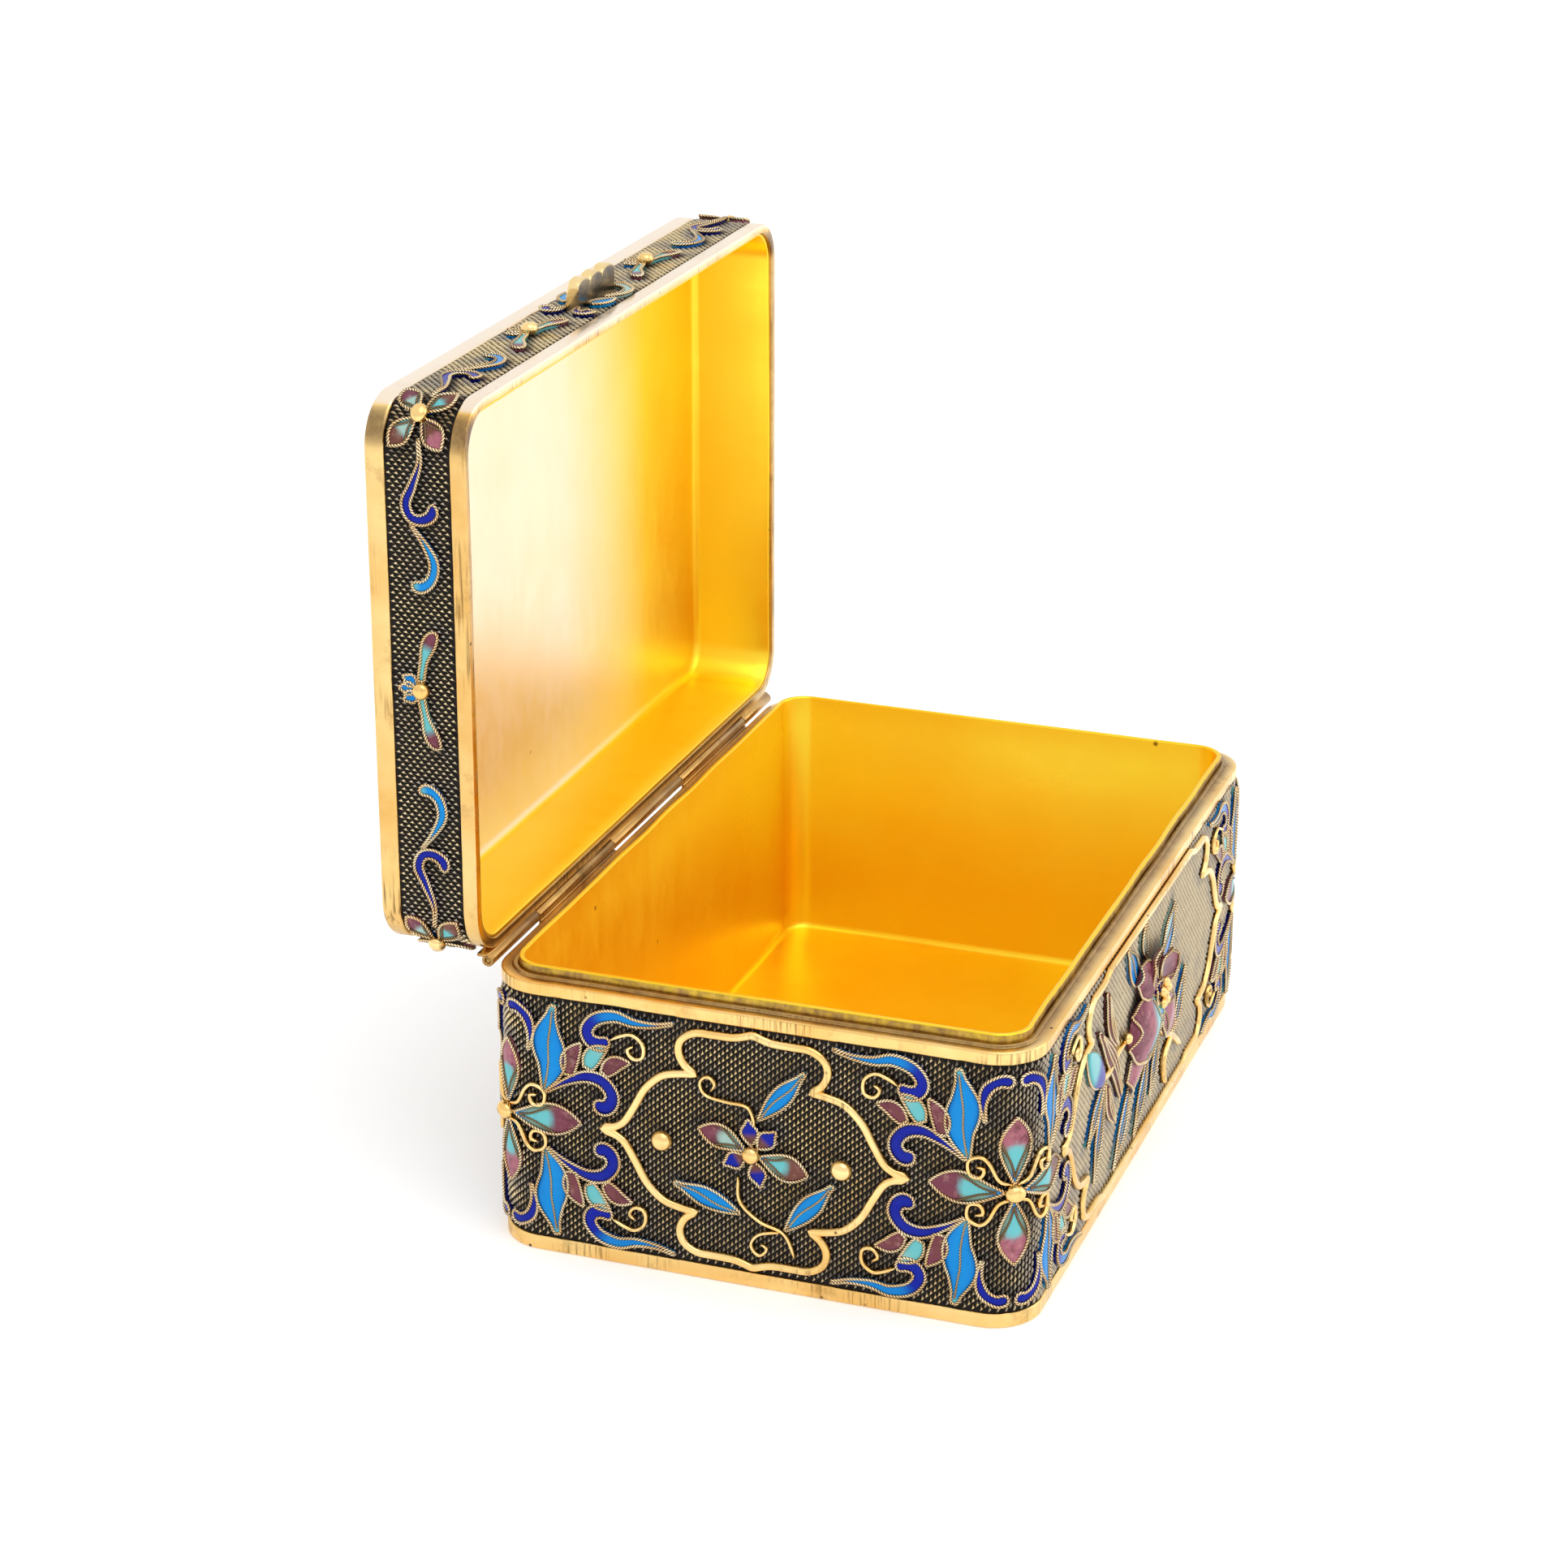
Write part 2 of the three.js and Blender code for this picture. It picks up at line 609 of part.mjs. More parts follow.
const lidLinerInset = lidWall - lidLinerThickness;
const lidCeiling = lidTopZ - lidTopThickness;
const bandTop = lidTopZ - lidTopRimHeight;
const topPanelZ = lidTopZ - weaveRecess;
const linerMouthZ = mouthZ + ledgeStepHeight;
piece(lid, 'lid_mouth_rim', sweep([
  [0, mouthZ], [0, mouthZ + lidMouthRimHeight],
  [lidLinerInset, mouthZ + lidMouthRimHeight], [lidLinerInset, mouthZ],
], true), gilt);
piece(lid, 'lid_weave_band', sweep([
  [weaveRecess, mouthZ + lidMouthRimHeight], [weaveRecess, bandTop],
  [weaveBack, bandTop], [weaveBack, mouthZ + lidMouthRimHeight],
], true), oxidised);
piece(lid, 'lid_top_rim', sweep([
  [0, bandTop], [0, lidTopZ - lidRound], [lidRound, lidTopZ], [lidBorder, lidTopZ],
  [lidBorder, lidCeiling + lidLinerThickness], [lidLinerInset, lidCeiling + lidLinerThickness],
  [lidLinerInset, bandTop],
], true), gilt);
piece(lid, 'lid_weave_top', sweep([
  [lidBorder, lidCeiling + lidLinerThickness], [lidBorder, topPanelZ],
], false), oxidised);
piece(lid, 'lid_liner', sweep([
  [lidLinerInset, lidCeiling + lidLinerThickness], [lidLinerInset, bandTop], [weaveBack, bandTop],
  [weaveBack, mouthZ + lidMouthRimHeight], [lidLinerInset, mouthZ + lidMouthRimHeight],
  [lidLinerInset, linerMouthZ], [lidWall, linerMouthZ], [lidWall, lidCeiling],
], false), inner);
piece(lid, 'lid_clasp', clasp(), gilt);

// Ornaments of the lid
const topGrowthU = boxLength / 2 / topScale - topMargin - cartoucheTip;
const topGrowthV = boxWidth / 2 / topScale - topPeakMargin - cartouchePeak;
const topSprayX = boxLength / 2 - topSprayInset * topScale;
const topSprayY = boxWidth / 2 - topSprayInset * topScale;
const flutter = (middle) => butterfly(onWall(middle, lidMidZ, bandScale));
piece(lid, 'cartouche_lid', cartouche(onTop(0, 0), topGrowthU, topGrowthV), gilt);
piece(lid, 'spray_lid', middleSpray(onTop(0, 0)), enamel);
for (const [name, side] of [['left', -1], ['right', 1]]) {
  piece(lid, `lid_band_front_${name}`, bandSpray(side * frontCorner), enamel);
  piece(lid, `lid_band_back_${name}`, bandSpray(side * backCorner), enamel);
  piece(lid, `lid_butterfly_${name}`, flutter(side * endMiddle), enamel);
  piece(lid, `lid_butterfly_front_${name}`, flutter(side * butterflySpread), enamel);
  piece(lid, `lid_butterfly_back_${name}`, flutter(backMiddle + side * butterflySpread), enamel);
  for (const [where, end] of [['front', -1], ['back', 1]]) {
    const place = onTop(side * topSprayX, end * topSprayY, -side, -end);
    piece(lid, `lid_top_spray_${where}_${name}`, topSpray(place), enamel);
  }
}

// Hinge: knuckles in turn on the lid and on the body, and the pin through them
const hingeLength = boxLength - 2 * hingeMargin;
let knuckleStart = -hingeLength / 2;
knuckleShares.forEach((share, i) => {
  const span = share * hingeLength;
  const from = knuckleStart + knuckleGap / 2;
  const to = knuckleStart + span - knuckleGap / 2;
  const onLid = i % 2 === 0;
  const name = onLid ? `hinge_knuckle_lid_${i / 2 + 1}` : `hinge_knuckle_box_${(i + 1) / 2}`;
  piece(onLid ? lid : body, name, knuckle(from, to, onLid), gilt);
  knuckleStart += span;
});
const pinReach = hingeLength / 2 - knuckleGap;
piece(body, 'hinge_pin', toGeometry(rod(pinRadius, -pinReach, pinReach)), gilt);

export default box;
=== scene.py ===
"""Looks of the enamelled filigree box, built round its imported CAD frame.

Sizes inside the script are millimetres and become metres when a mesh is made. The lid is drawn shut
and then swung open about the hinge, as the CAD does. On a wall, s runs counterclockwise round the
outline from the middle of the front, z is the height and h stands out from the woven ground.
"""

import math

import bpy
import numpy as np
from mathutils import Matrix, Vector, kdtree


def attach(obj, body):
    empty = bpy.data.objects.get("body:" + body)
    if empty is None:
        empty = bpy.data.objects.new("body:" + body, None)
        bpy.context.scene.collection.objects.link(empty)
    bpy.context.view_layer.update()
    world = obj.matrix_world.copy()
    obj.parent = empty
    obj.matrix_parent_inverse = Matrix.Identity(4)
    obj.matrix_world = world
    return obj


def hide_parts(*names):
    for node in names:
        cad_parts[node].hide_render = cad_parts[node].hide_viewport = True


MM = 0.001

# Camera of the photograph
CAMERA_AZIMUTH = -70.265
CAMERA_ELEVATION = 21.484
CAMERA_ROLL = 0.131
CAMERA_TARGET = (19.085, 22.587, 38.479)
CAMERA_DISTANCE = 539.28
FOCAL_PIXELS = 4654.07
IMAGE_PIXELS = 1932
SENSOR = 36.0

# The box, as in the CAD
LENGTH, WIDTH, RADIUS = 110.0, 72.6, 6.6
HEIGHT, LID_HEIGHT, MOUTH_GAP = 38.0, 13.5, 0.2
BASE_RIM, TOP_RIM = 2.0, 1.8
MOUTH_RIM, LID_RIM, LID_BORDER = 2.0, 2.8, 3.2
RIM_THICK = 1.4
LIP_INSET, LIP_THICK, LIP_HEIGHT = 2.3, 0.7, 1.4
STEP_INSET, STEP_HEIGHT = 1.5, 0.35
FLOOR_Z = 1.6
LID_WALL, LID_LINER = 1.9, 1.4
LID_TOP_THICK = 1.2
RECESS = 0.3
AXIS_Y, AXIS_Z = WIDTH / 2 + 0.95, HEIGHT + 0.45
KNUCKLE_RADIUS, BORE_RADIUS, KNUCKLE_GAP = 0.8, 0.42, 0.2
HINGE_LENGTH, KNUCKLES = LENGTH - 6.0, (0.148, 0.25, 0.246, 0.248, 0.108)
PIN_RADIUS = 0.36
LEAF_THICK, LEAF_HEIGHT = 0.5, 1.7
CLASP_LOBES, CLASP_WIDTH, CLASP_REACH = 3, 12.4, 4.3
CLASP_LIFT, CLASP_THICK, CLASP_SCALLOP = 5.3, 2.0, 1.1
STUD_PLACE, STUD_RADIUS = 12, 1.4

MOUTH_Z = HEIGHT + MOUTH_GAP
LINER_MOUTH = MOUTH_Z + STEP_HEIGHT
LID_TOP_Z = MOUTH_Z + LID_HEIGHT
CEILING_Z = LID_TOP_Z - LID_TOP_THICK
HALF_X, HALF_Y = LENGTH / 2 - RADIUS, WIDTH / 2 - RADIUS
ARC = math.pi / 2 * RADIUS
FRONT_CORNER = HALF_X + ARC / 2
BACK_CORNER = FRONT_CORNER + ARC + 2 * HALF_Y
END_MIDDLE = HALF_X + ARC + HALF_Y
BACK_MIDDLE = 2 * (HALF_X + ARC + HALF_Y)
ROUND = 2 * BACK_MIDDLE
BODY_Z = (BASE_RIM + HEIGHT - TOP_RIM) / 2 + 0.1
LID_Z = MOUTH_Z + (MOUTH_RIM + LID_HEIGHT - LID_RIM) / 2

# Filigree
ENAMEL_TOP = 0.75
CELL_STEP = 0.55
ROPE_RADIUS, ROPE_PITCH, ROPE_HEIGHT = 0.22, 0.42, 0.72
BUTTERFLY_SPREAD = 20.1
FLOWER_SHIFT, FRONT_DRAW = 1.0, 1.8
LONG_GROWTH = (LENGTH - WIDTH) / 2 + 2.6
TOP_SPRAY_INSET = 9.5

# A grain of the weave: its six points, their shine and its faces
GRAIN_STEP, GRAIN_REPEAT, GRAIN_HIGH = 0.55, 1.0, 0.24
GRAIN_SHAPE = ((-0.2, -0.5, 0), (0.26, -0.04, 0.1), (0.04, 0.5, 0), (-0.09, 0.02, 0), (0, -0.24, 0.9),
               (0.09, 0.18, 1))
GRAIN_SHINE = (0.3, 0.85, 0.45, 0.3, 1.0, 1.0)
GRAIN_FACES = ((0, 1, 4), (1, 2, 5), (1, 5, 4), (2, 3, 5), (3, 0, 4), (3, 4, 5), (0, 3, 2), (0, 2, 1))

# Points round the outline of a rim, along a corner, a long side and a short side
CORNER_STEPS, LONG_STEPS, SHORT_STEPS = 14, 44, 28

FLOOR_GLOW = 0.19


def srgb(red, green, blue):
    """Linear colour from 8-bit numbers."""
    channels = np.array([red, green, blue]) / 255.0
    return np.where(channels < 0.04045, channels / 12.92, ((channels + 0.055) / 1.055) ** 2.4)


COBALT = srgb(0, 22, 152)
COBALT_DEEP = srgb(0, 6, 108)
CYAN = srgb(0, 126, 206)
CYAN_LIGHT = srgb(0, 148, 220)
TURQUOISE = srgb(104, 186, 190)
PURPLE = srgb(118, 58, 74)
ROSE = srgb(166, 98, 112)
OLIVE = srgb(122, 150, 132)
BROWN = srgb(112, 66, 54)
PALE = srgb(158, 190, 180)
UMBER = srgb(52, 40, 34)
DULL_GILT = srgb(112, 84, 58)
DULL_SILVER = srgb(92, 88, 84)


def mixed(a, b, weight):
    """One colour passing into another as the weight goes from 0 to 1."""
    weight = np.asarray(weight)[..., None]
    return a * (1 - weight) + b * weight


def ramp(low, high, x):
    """Smooth step from 0 at low to 1 at high."""
    t = np.clip((x - low) / (high - low), 0, 1)
    return t * t * (3 - 2 * t)


# Places on the box

def wall(s, z, out):
    """Point on the outside of the walls, out from the rims' face."""
    s = s - ROUND * np.round(s / ROUND)
    side = np.where(s < 0, -1.0, 1.0)
    t = np.abs(s)
    first = (t - HALF_X) / RADIUS
    second = (t - HALF_X - ARC - 2 * HALF_Y) / RADIUS
    tests = [t <= HALF_X, t <= HALF_X + ARC, t <= HALF_X + ARC + 2 * HALF_Y, t <= BACK_MIDDLE - HALF_X]
    zero, one = np.zeros_like(t), np.ones_like(t)
    x = np.select(tests, [t, HALF_X + RADIUS * np.sin(first), one * LENGTH / 2,
                          HALF_X + RADIUS * np.cos(second)], BACK_MIDDLE - t)
    y = np.select(tests, [-one * WIDTH / 2, -HALF_Y - RADIUS * np.cos(first), t - HALF_X - ARC - HALF_Y,
                          HALF_Y + RADIUS * np.sin(second)], WIDTH / 2)
    nx = np.select(tests, [zero, np.sin(first), one, np.cos(second)], 0.0)
    ny = np.select(tests, [-one, -np.cos(first), zero, np.sin(second)], 1.0)
    return np.stack([side * (x + out * nx), y + out * ny, z + zero], -1)


def opened(points):
    """Swings points of the shut lid to where it stands open."""
    x, y, z = points[..., 0], points[..., 1], points[..., 2]
    return np.stack([x, AXIS_Y + z - AXIS_Z, AXIS_Z + AXIS_Y - y], -1)


def same(points):
    """Leaves points of the body where they are."""
    return points


def panel(s0, z0, mirror=1, flip=1, lid=False):
    """Ornament frame on a wall: u along, v up, h out from the woven ground."""
    swing = opened if lid else same
    return lambda p: swing(wall(s0 + mirror * p[..., 0], z0 + flip * p[..., 1], p[..., 2] - RECESS))


def top_panel(x0, y0, mirror=1, flip=1):
    """Ornament frame on the lid's top."""
    return lambda p: opened(np.stack([
        x0 + mirror * p[..., 0], y0 + flip * p[..., 1], LID_TOP_Z - RECESS + p[..., 2]], -1))


# Meshes

class Batch:
    """Vertices, faces and vertex colours of one piece."""

    def __init__(self):
        self.points, self.quads, self.tris, self.tints, self.count = [], [], [], [], 0

    def add(self, points, quads, tris, tint):
        self.points.append(points)
        self.quads.append(quads + self.count)
        self.tris.append(tris + self.count)
        self.tints.append(np.broadcast_to(np.asarray(tint, float).reshape(-1, 3), points.shape))
        self.count += len(points)

    def make(self, name, material, body, slot, *nodes, smooth=True):
        """The finished piece, in place of the CAD nodes that it covers."""
        quads, tris = np.concatenate(self.quads), np.concatenate(self.tris)
        points = np.concatenate(self.points) * MM
        mesh = bpy.data.meshes.new(name)
        mesh.vertices.add(len(points))
        mesh.vertices.foreach_set("co", points.astype(np.float32).ravel())
        loops = np.concatenate([quads.ravel(), tris.ravel()])
        mesh.loops.add(len(loops))
        mesh.loops.foreach_set("vertex_index", loops.astype(np.int32))
        starts = np.concatenate([np.arange(len(quads)) * 4, len(quads) * 4 + np.arange(len(tris)) * 3])
        mesh.polygons.add(len(starts))
        mesh.polygons.foreach_set("loop_start", starts.astype(np.int32))
        mesh.polygons.foreach_set("use_smooth", np.full(len(starts), smooth))
        mesh.update(calc_edges=True)
        colours = np.concatenate(self.tints)
        tint = mesh.color_attributes.new("tint", "FLOAT_COLOR", "POINT")
        tint.data.foreach_set("color", np.c_[colours, np.ones(len(colours))].astype(np.float32).ravel())
        mesh.materials.append(material)
        piece = bpy.data.objects.new(name, mesh)
        bpy.context.scene.collection.objects.link(piece)
        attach(piece, body)
        if nodes:
            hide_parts(*nodes)


class Spot:
    """Where an ornament is set: the batches that take it and the frame it lies in."""

    def __init__(self, parts, place):
        self.parts, self.place = parts, place


NO_QUADS, NO_TRIS = np.zeros((0, 4), np.int64), np.zeros((0, 3), np.int64)


def grid_faces(rows, count, closed):
    """Quads between rows of points, where each row closes on itself."""
    i = np.arange(rows if closed else rows - 1)[:, None]
    j = np.arange(count)[None, :]
    here, after, turn = i * count, (i + 1) % rows * count, (j + 1) % count
    return np.stack([here + j, here + turn, after + turn, after + j], -1).reshape(-1, 4)


def outward(points, quads, tris):
    """The faces of a closed skin, turned over if they look inwards."""
    centred = points - points.mean(0)
    volume = 0.0
    for faces in (quads[:, :3], quads[:, [0, 2, 3]], tris):
        p, q, r = (centred[faces[:, m]] for m in range(3))
        volume += np.einsum("ij,ij->i", p, np.cross(q, r)).sum()
    return (quads[:, ::-1], tris[:, ::-1]) if volume < 0 else (quads, tris)


def loft(batch, place, rows, closed=False, tint=(1, 1, 1)):
    """Closed skin through rows of section points, joined end to end when closed, else capped."""
    n, k = rows.shape[:2]
    points = place(rows.reshape(-1, 3))
    tris = NO_TRIS
    if not closed:
        fan = np.arange(1, k - 1)
        first = np.stack([np.zeros_like(fan), fan + 1, fan], -1)
        last = (n - 1) * k + np.stack([np.zeros_like(fan), fan, fan + 1], -1)
        tris = np.concatenate([first, last])
    batch.add(points, *outward(points, grid_faces(n, k, closed), tris), tint)


def even(dense, step, closed=False):
    """Resamples a dense line at an even step: its points, their tangents and their share of the length."""
    along = np.concatenate([[0], np.cumsum(np.linalg.norm(np.diff(dense, axis=0), axis=1))])
    count = max(int(round(along[-1] / step)), 3)
    at = np.linspace(0, along[-1], count + 1)
    line = np.stack([np.interp(at, along, dense[:, m]) for m in range(dense.shape[1])], -1)
    if closed:
        line = line[:-1]
        tangent = np.roll(line, -1, 0) - np.roll(line, 1, 0)
    else:
        tangent = np.gradient(line, axis=0)
    tangent /= np.linalg.norm(tangent, axis=1, keepdims=True) + 1e-9
    return line, tangent, at[:len(line)] / along[-1]


def spline(points, step):
    """Even points on a smooth curve through the given ones."""
    p = np.asarray(points, float)
    p = np.concatenate([2 * p[:1] - p[1:2], p, 2 * p[-1:] - p[-2:-1]])
    t = np.linspace(0, 1, 24, endpoint=False)[:, None]
    parts = []
    for a, b, c, d in zip(p[:-3], p[1:-2], p[2:-1], p[3:]):
        parts.append(0.5 * (2 * b + (c - a) * t + (2 * a - 5 * b + 4 * c - d) * t ** 2
                            + (3 * b - a - 3 * c + d) * t ** 3))
    return even(np.concatenate(parts + [p[-2:-1]]), step)


def sections(line, tangent, offsets):
    """Rows of section points: offsets are (sideways, up) for each point of each row."""
    side = np.stack([-tangent[:, 1], tangent[:, 0]], -1)
    side /= np.linalg.norm(side, axis=1, keepdims=True) + 1e-9
    height = line[:, 2] if line.shape[1] > 2 else np.zeros(len(line))
    rows = np.empty((len(line), offsets.shape[1], 3))
    rows[..., :2] = line[:, None, :2] + side[:, None, :] * offsets[..., :1]
    rows[..., 2] = height[:, None] + offsets[..., 1]
    return rows


def looped(path, closed):
    """The path as an array, with its first point again at the end when it is closed."""
    path = np.asarray(path, float)
    return np.concatenate([path, path[:1]]) if closed else path


def twisted_wire(spot, path, closed=False, radius=ROPE_RADIUS, height=ROPE_HEIGHT, dull=0.0):
    """Two-strand twisted wire. Its colour carries the turn of the strands and their dullness."""
    path = looped(path, closed)
    if path.shape[1] == 2:
        path = np.c_[path, np.full(len(path), height)]
    line, tangent, _ = even(path, ROPE_PITCH / 3, closed)
    sides = 5
    angle = (-math.pi / 2 + math.pi / sides + 2 * math.pi * np.arange(sides) / sides)[None, :]
    turn = (np.arange(len(line)) * math.pi / 3)[:, None]
    reach = radius * (1 + 0.16 * np.cos(2 * (angle - turn)))
    offsets = np.stack([reach * np.cos(angle), reach * np.sin(angle)], -1)
    phase = turn / math.pi - angle / math.pi
    tint = np.stack([phase, np.full_like(phase, dull), np.zeros_like(phase)], -1)
    loft(spot.parts["rope"], spot.place, sections(line, tangent, offsets), closed, tint)


def flat_wire(spot, path, closed, width, high, swell=None):
    """Plain gilt wire with a softly rounded top."""
    line, tangent, share = even(looped(path, closed), 0.45, closed)
    half = np.full(len(line), width / 2)
    if swell is not None:
        half = half + swell(line)
    if not closed:
        ends = np.minimum(share, 1 - share) * len(line)
        half = half * (0.45 + 0.55 * np.clip(ends / 2, 0, 1))
    shape = np.array([[1, 0], [-1, 0], [-1, high * 0.7], [-0.6, high * 0.96], [0, high],
                      [0.6, high * 0.96], [1, high * 0.7]])
    offsets = np.empty((len(line), len(shape), 2))
    offsets[..., 0] = half[:, None] * shape[None, :, 0]
    offsets[..., 1] = shape[None, :, 1]
    loft(spot.parts["wire"], spot.place, sections(line, tangent, offsets), closed)


def dome(spot, u, v, radius, base=0.3, tall=0.8, sides=14, part="wire", tint=(1, 1, 1)):
    """Rounded bead soldered on at (u, v)."""
    polar = np.linspace(0, math.pi, 8)[1:-1, None]
    around = 2 * math.pi * np.arange(sides) / sides
    rows = np.empty((len(polar), sides, 3))
    rows[..., 0] = u + radius * np.sin(polar) * np.cos(around)
    rows[..., 1] = v + radius * np.sin(polar) * np.sin(around)
    rows[..., 2] = base + radius * tall * (1 - np.cos(polar))
    loft(spot.parts[part], spot.place, rows, tint=tint)


# Enamelled cells

def leaf_form(t):
    """Lens that draws in before a small knob at its tip."""
    body = np.sin(math.pi * np.clip(0.03 + 0.93 * t, 0, 1)) * (1 - 0.35 * ramp(0.55, 1.0, t))
    return body + 0.08 * ramp(0.88, 0.96, t)


def petal_form(t):
    """Narrow foot, and widest beyond the middle."""
    return np.sin(math.pi * np.clip(t, 0.012, 0.99) ** 1.3) ** 0.85


def bud_form(t):
    """Blunt foot and pointed tip."""
    return np.sin(math.pi * np.clip(0.16 + 0.83 * t, 0, 1)) ** 0.9


def scroll_form(t):
    """Thin tail, full hook and round end."""
    end = np.sqrt(np.clip(1 - np.clip((t - 0.91) / 0.09, 0, 1) ** 2, 0.04, 1))
    return (0.2 + 0.7 * ramp(0, 0.6, t) + 0.16 * ramp(0.7, 0.92, t)) * end


def wing_form(t):
    """Butterfly's wing, wider towards its round end."""
    return (0.45 + 0.55 * ramp(0.3, 0.8, t)) * np.sqrt(np.clip(1 - t ** 8, 0.05, 1))


def rose_form(t):
    """Peony petal, broad at its tip."""
    return (0.3 + 0.7 * ramp(0, 0.55, t)) * np.sqrt(1 - 0.75 * ramp(0.7, 1, t))


class Shape:
    """A cell along a curved midline: at(t, q) is the point at t along and q across."""

    def __init__(self, points, half, form):
        self.line, self.tangent, self.t = spline(points, 0.2)
        self.half, self.form = half, form

    def at(self, t, q):
        t, q = np.broadcast_arrays(np.asarray(t, float), np.asarray(q, float))
        x, y = (np.interp(t, self.t, self.line[:, m]) for m in range(2))
        tx, ty = (np.interp(t, self.t, self.tangent[:, m]) for m in range(2))
        size = np.hypot(tx, ty) + 1e-9
        reach = self.half * self.form(t) * q
        return np.stack([x - ty / size * reach, y + tx / size * reach], -1)

    def length(self):
        return float(np.linalg.norm(np.diff(self.line, axis=0), axis=1).sum())


COVERED = []


def note_cover(spot, points):
    """Keeps where ornaments lie, because the ground beside them stays dull."""
    COVERED.append(spot.place(np.c_[points[:, :2], np.zeros(len(points))]))


def cell(spot, shape, colour, top=ENAMEL_TOP, across=7):
    """Enamel fill with its outline of twisted wire."""
    t = np.linspace(0, 1, max(int(shape.length() / CELL_STEP), 8) + 1)
    tt, qq = np.meshgrid(t, np.linspace(-1, 1, across), indexing="ij")
    height = top * (0.86 + 0.14 * (1 - qq ** 2))
    skin = np.concatenate([shape.at(tt, qq * 0.98), height[..., None]], -1)
    under = np.stack([skin[:, -1], skin[:, 0]], 1)
    under[..., 2] = 0.12
    tint = colour(tt, qq)
    tint = np.concatenate([tint, tint[:, -1:], tint[:, :1]], 1)
    loft(spot.parts["enamel"], spot.place, np.concatenate([skin, under], 1), tint=tint)
    edge = np.linspace(0, 1, 120)
    twisted_wire(spot, np.concatenate([shape.at(edge, 1.0), shape.at(edge[::-1], -1.0)]), True)
    note_cover(spot, shape.at(t, 0.0))


def plain(colour):
    """One enamel all over."""
    return lambda t, q: np.broadcast_to(colour, t.shape + (3,))


def shaded(root, tip, low=0.2, high=0.8):
    """One enamel passing into another along the cell."""
    return lambda t, q: mixed(root, tip, ramp(low, high, t))


def mottled(edge, middle):
    """A lighter heart that fades towards the tip."""
    return lambda t, q: mixed(edge, middle, 0.7 * ramp(0.3, 1, 1 - np.abs(q)) * ramp(1, 0.4, t))


def half_pale(t, q):
    """Blue on one side of the midrib, pale on the other."""
    return mixed(CYAN, PALE, ramp(-0.1, 0.3, q))


def leaf_colour(t, q):
    """Bright blue with a turquoise foot and tip and deeper edges."""
    body = mixed(mixed(TURQUOISE, CYAN, ramp(0.0, 0.16, t)), CYAN_LIGHT, 0.5 * (1 - np.abs(q)))
    body = mixed(body, COBALT, 0.35 * ramp(0.7, 1.0, np.abs(q)))
    return mixed(body, TURQUOISE, ramp(0.9, 0.98, t))


def scroll_colour(t, q):
    """Cobalt, deeper along the wires."""
    return mixed(COBALT_DEEP, COBALT, ramp(0, 0.8, 1 - np.abs(q)))


def petal_colour(tip, middle, side):
    """Blue foot, a bright lobe between two paler ones with dark edges, and a mottled tip."""
    def colour(t, q):
        lobe = mixed(UMBER, side, ramp(0.06, 0.3, 1 - np.abs(q)))
        body = mixed(lobe, middle, ramp(0.5, 0.6, 1 - np.abs(q) + 0.5 * (t - 0.4)))
        body = mixed(CYAN, body, ramp(0.06, 0.28, t))
        return mixed(body, tip, ramp(0.55, 0.66, t + 0.06 * np.abs(q)))
    return colour


def flower_petal(spot, points, half, tip=PURPLE, middle=TURQUOISE, side=OLIVE):
    """Petal in three parts at its foot and one at its tip, divided by twisted wires."""
    shape = Shape(points, half, petal_form)
    cell(spot, shape, petal_colour(tip, middle, side), across=11)
    t = np.linspace(0.12, 0.64, 24)
    spread = 0.14 + 0.8 * ((t - 0.12) / 0.52) ** 1.4
    for sign in (1, -1):
        twisted_wire(spot, shape.at(t, sign * spread), radius=0.16, height=0.74, dull=0.85)


def leaf(spot, points, half, colour=leaf_colour):
    """Pointed leaf with a midrib of twisted wire."""
    shape = Shape(points, half, leaf_form)
    cell(spot, shape, colour)
    t = np.linspace(0.04, 0.94, 24)
    twisted_wire(spot, shape.at(t, 0.22 * np.sin(6 * t)), radius=0.15, height=0.78, dull=0.35)


def bud(spot, points, half, colour):
    """Small pointed cell without a rib."""
    cell(spot, Shape(points, half, bud_form), colour)


def scroll(spot, points, half, colour=scroll_colour):
    """Enamelled scroll that ends in a hook."""
    cell(spot, Shape(points, half, scroll_form), colour, across=5)


def tendril(spot, points, width=0.5, high=0.95):
    """Open scroll or stem of plain gilt wire."""
    line, _, _ = spline(points, 0.2)
    flat_wire(spot, line, False, width, high)
    note_cover(spot, line)


# Sprays of the body

def corner_quarter(spot, full):
    """Leaf, scrolls and buds of one quarter of a corner spray."""
    tendril(spot, [(1.2, 1.0), (2.8, 1.6), (4.0, 3.9), (5.1, 4.7), (6.6, 3.9), (6.4, 2.1), (5.0, 1.9),
                   (4.6, 3.1), (5.5, 3.3)])
    leaf(spot, [(6.6, 4.1), (7.7, 8.0), (7.2, 11.8), (8.1, 16.2)], 2.15)
    scroll(spot, [(7.0, 4.1), (9.8, 5.9), (12.4, 7.0), (14.6, 6.7), (15.9, 5.2), (15.8, 3.8), (14.8, 3.0),
                  (13.6, 3.6)], 0.98)
    if full:
        bud(spot, [(10.1, 6.9), (10.3, 9.2), (11.8, 11.6)], 1.15, mottled(PURPLE, BROWN))
        bud(spot, [(12.7, 8.2), (13.6, 10.2), (15.5, 11.6)], 1.15, shaded(TURQUOISE, PALE, 0.4, 1))
        bud(spot, [(14.9, 7.8), (16.4, 9.4), (18.5, 9.9)], 1.05, mottled(PURPLE, BROWN))
    scroll(spot, [(4.6, 9.6), (4.9, 12.2), (4.3, 14.2), (2.7, 15.2), (1.4, 14.8)], 0.72)


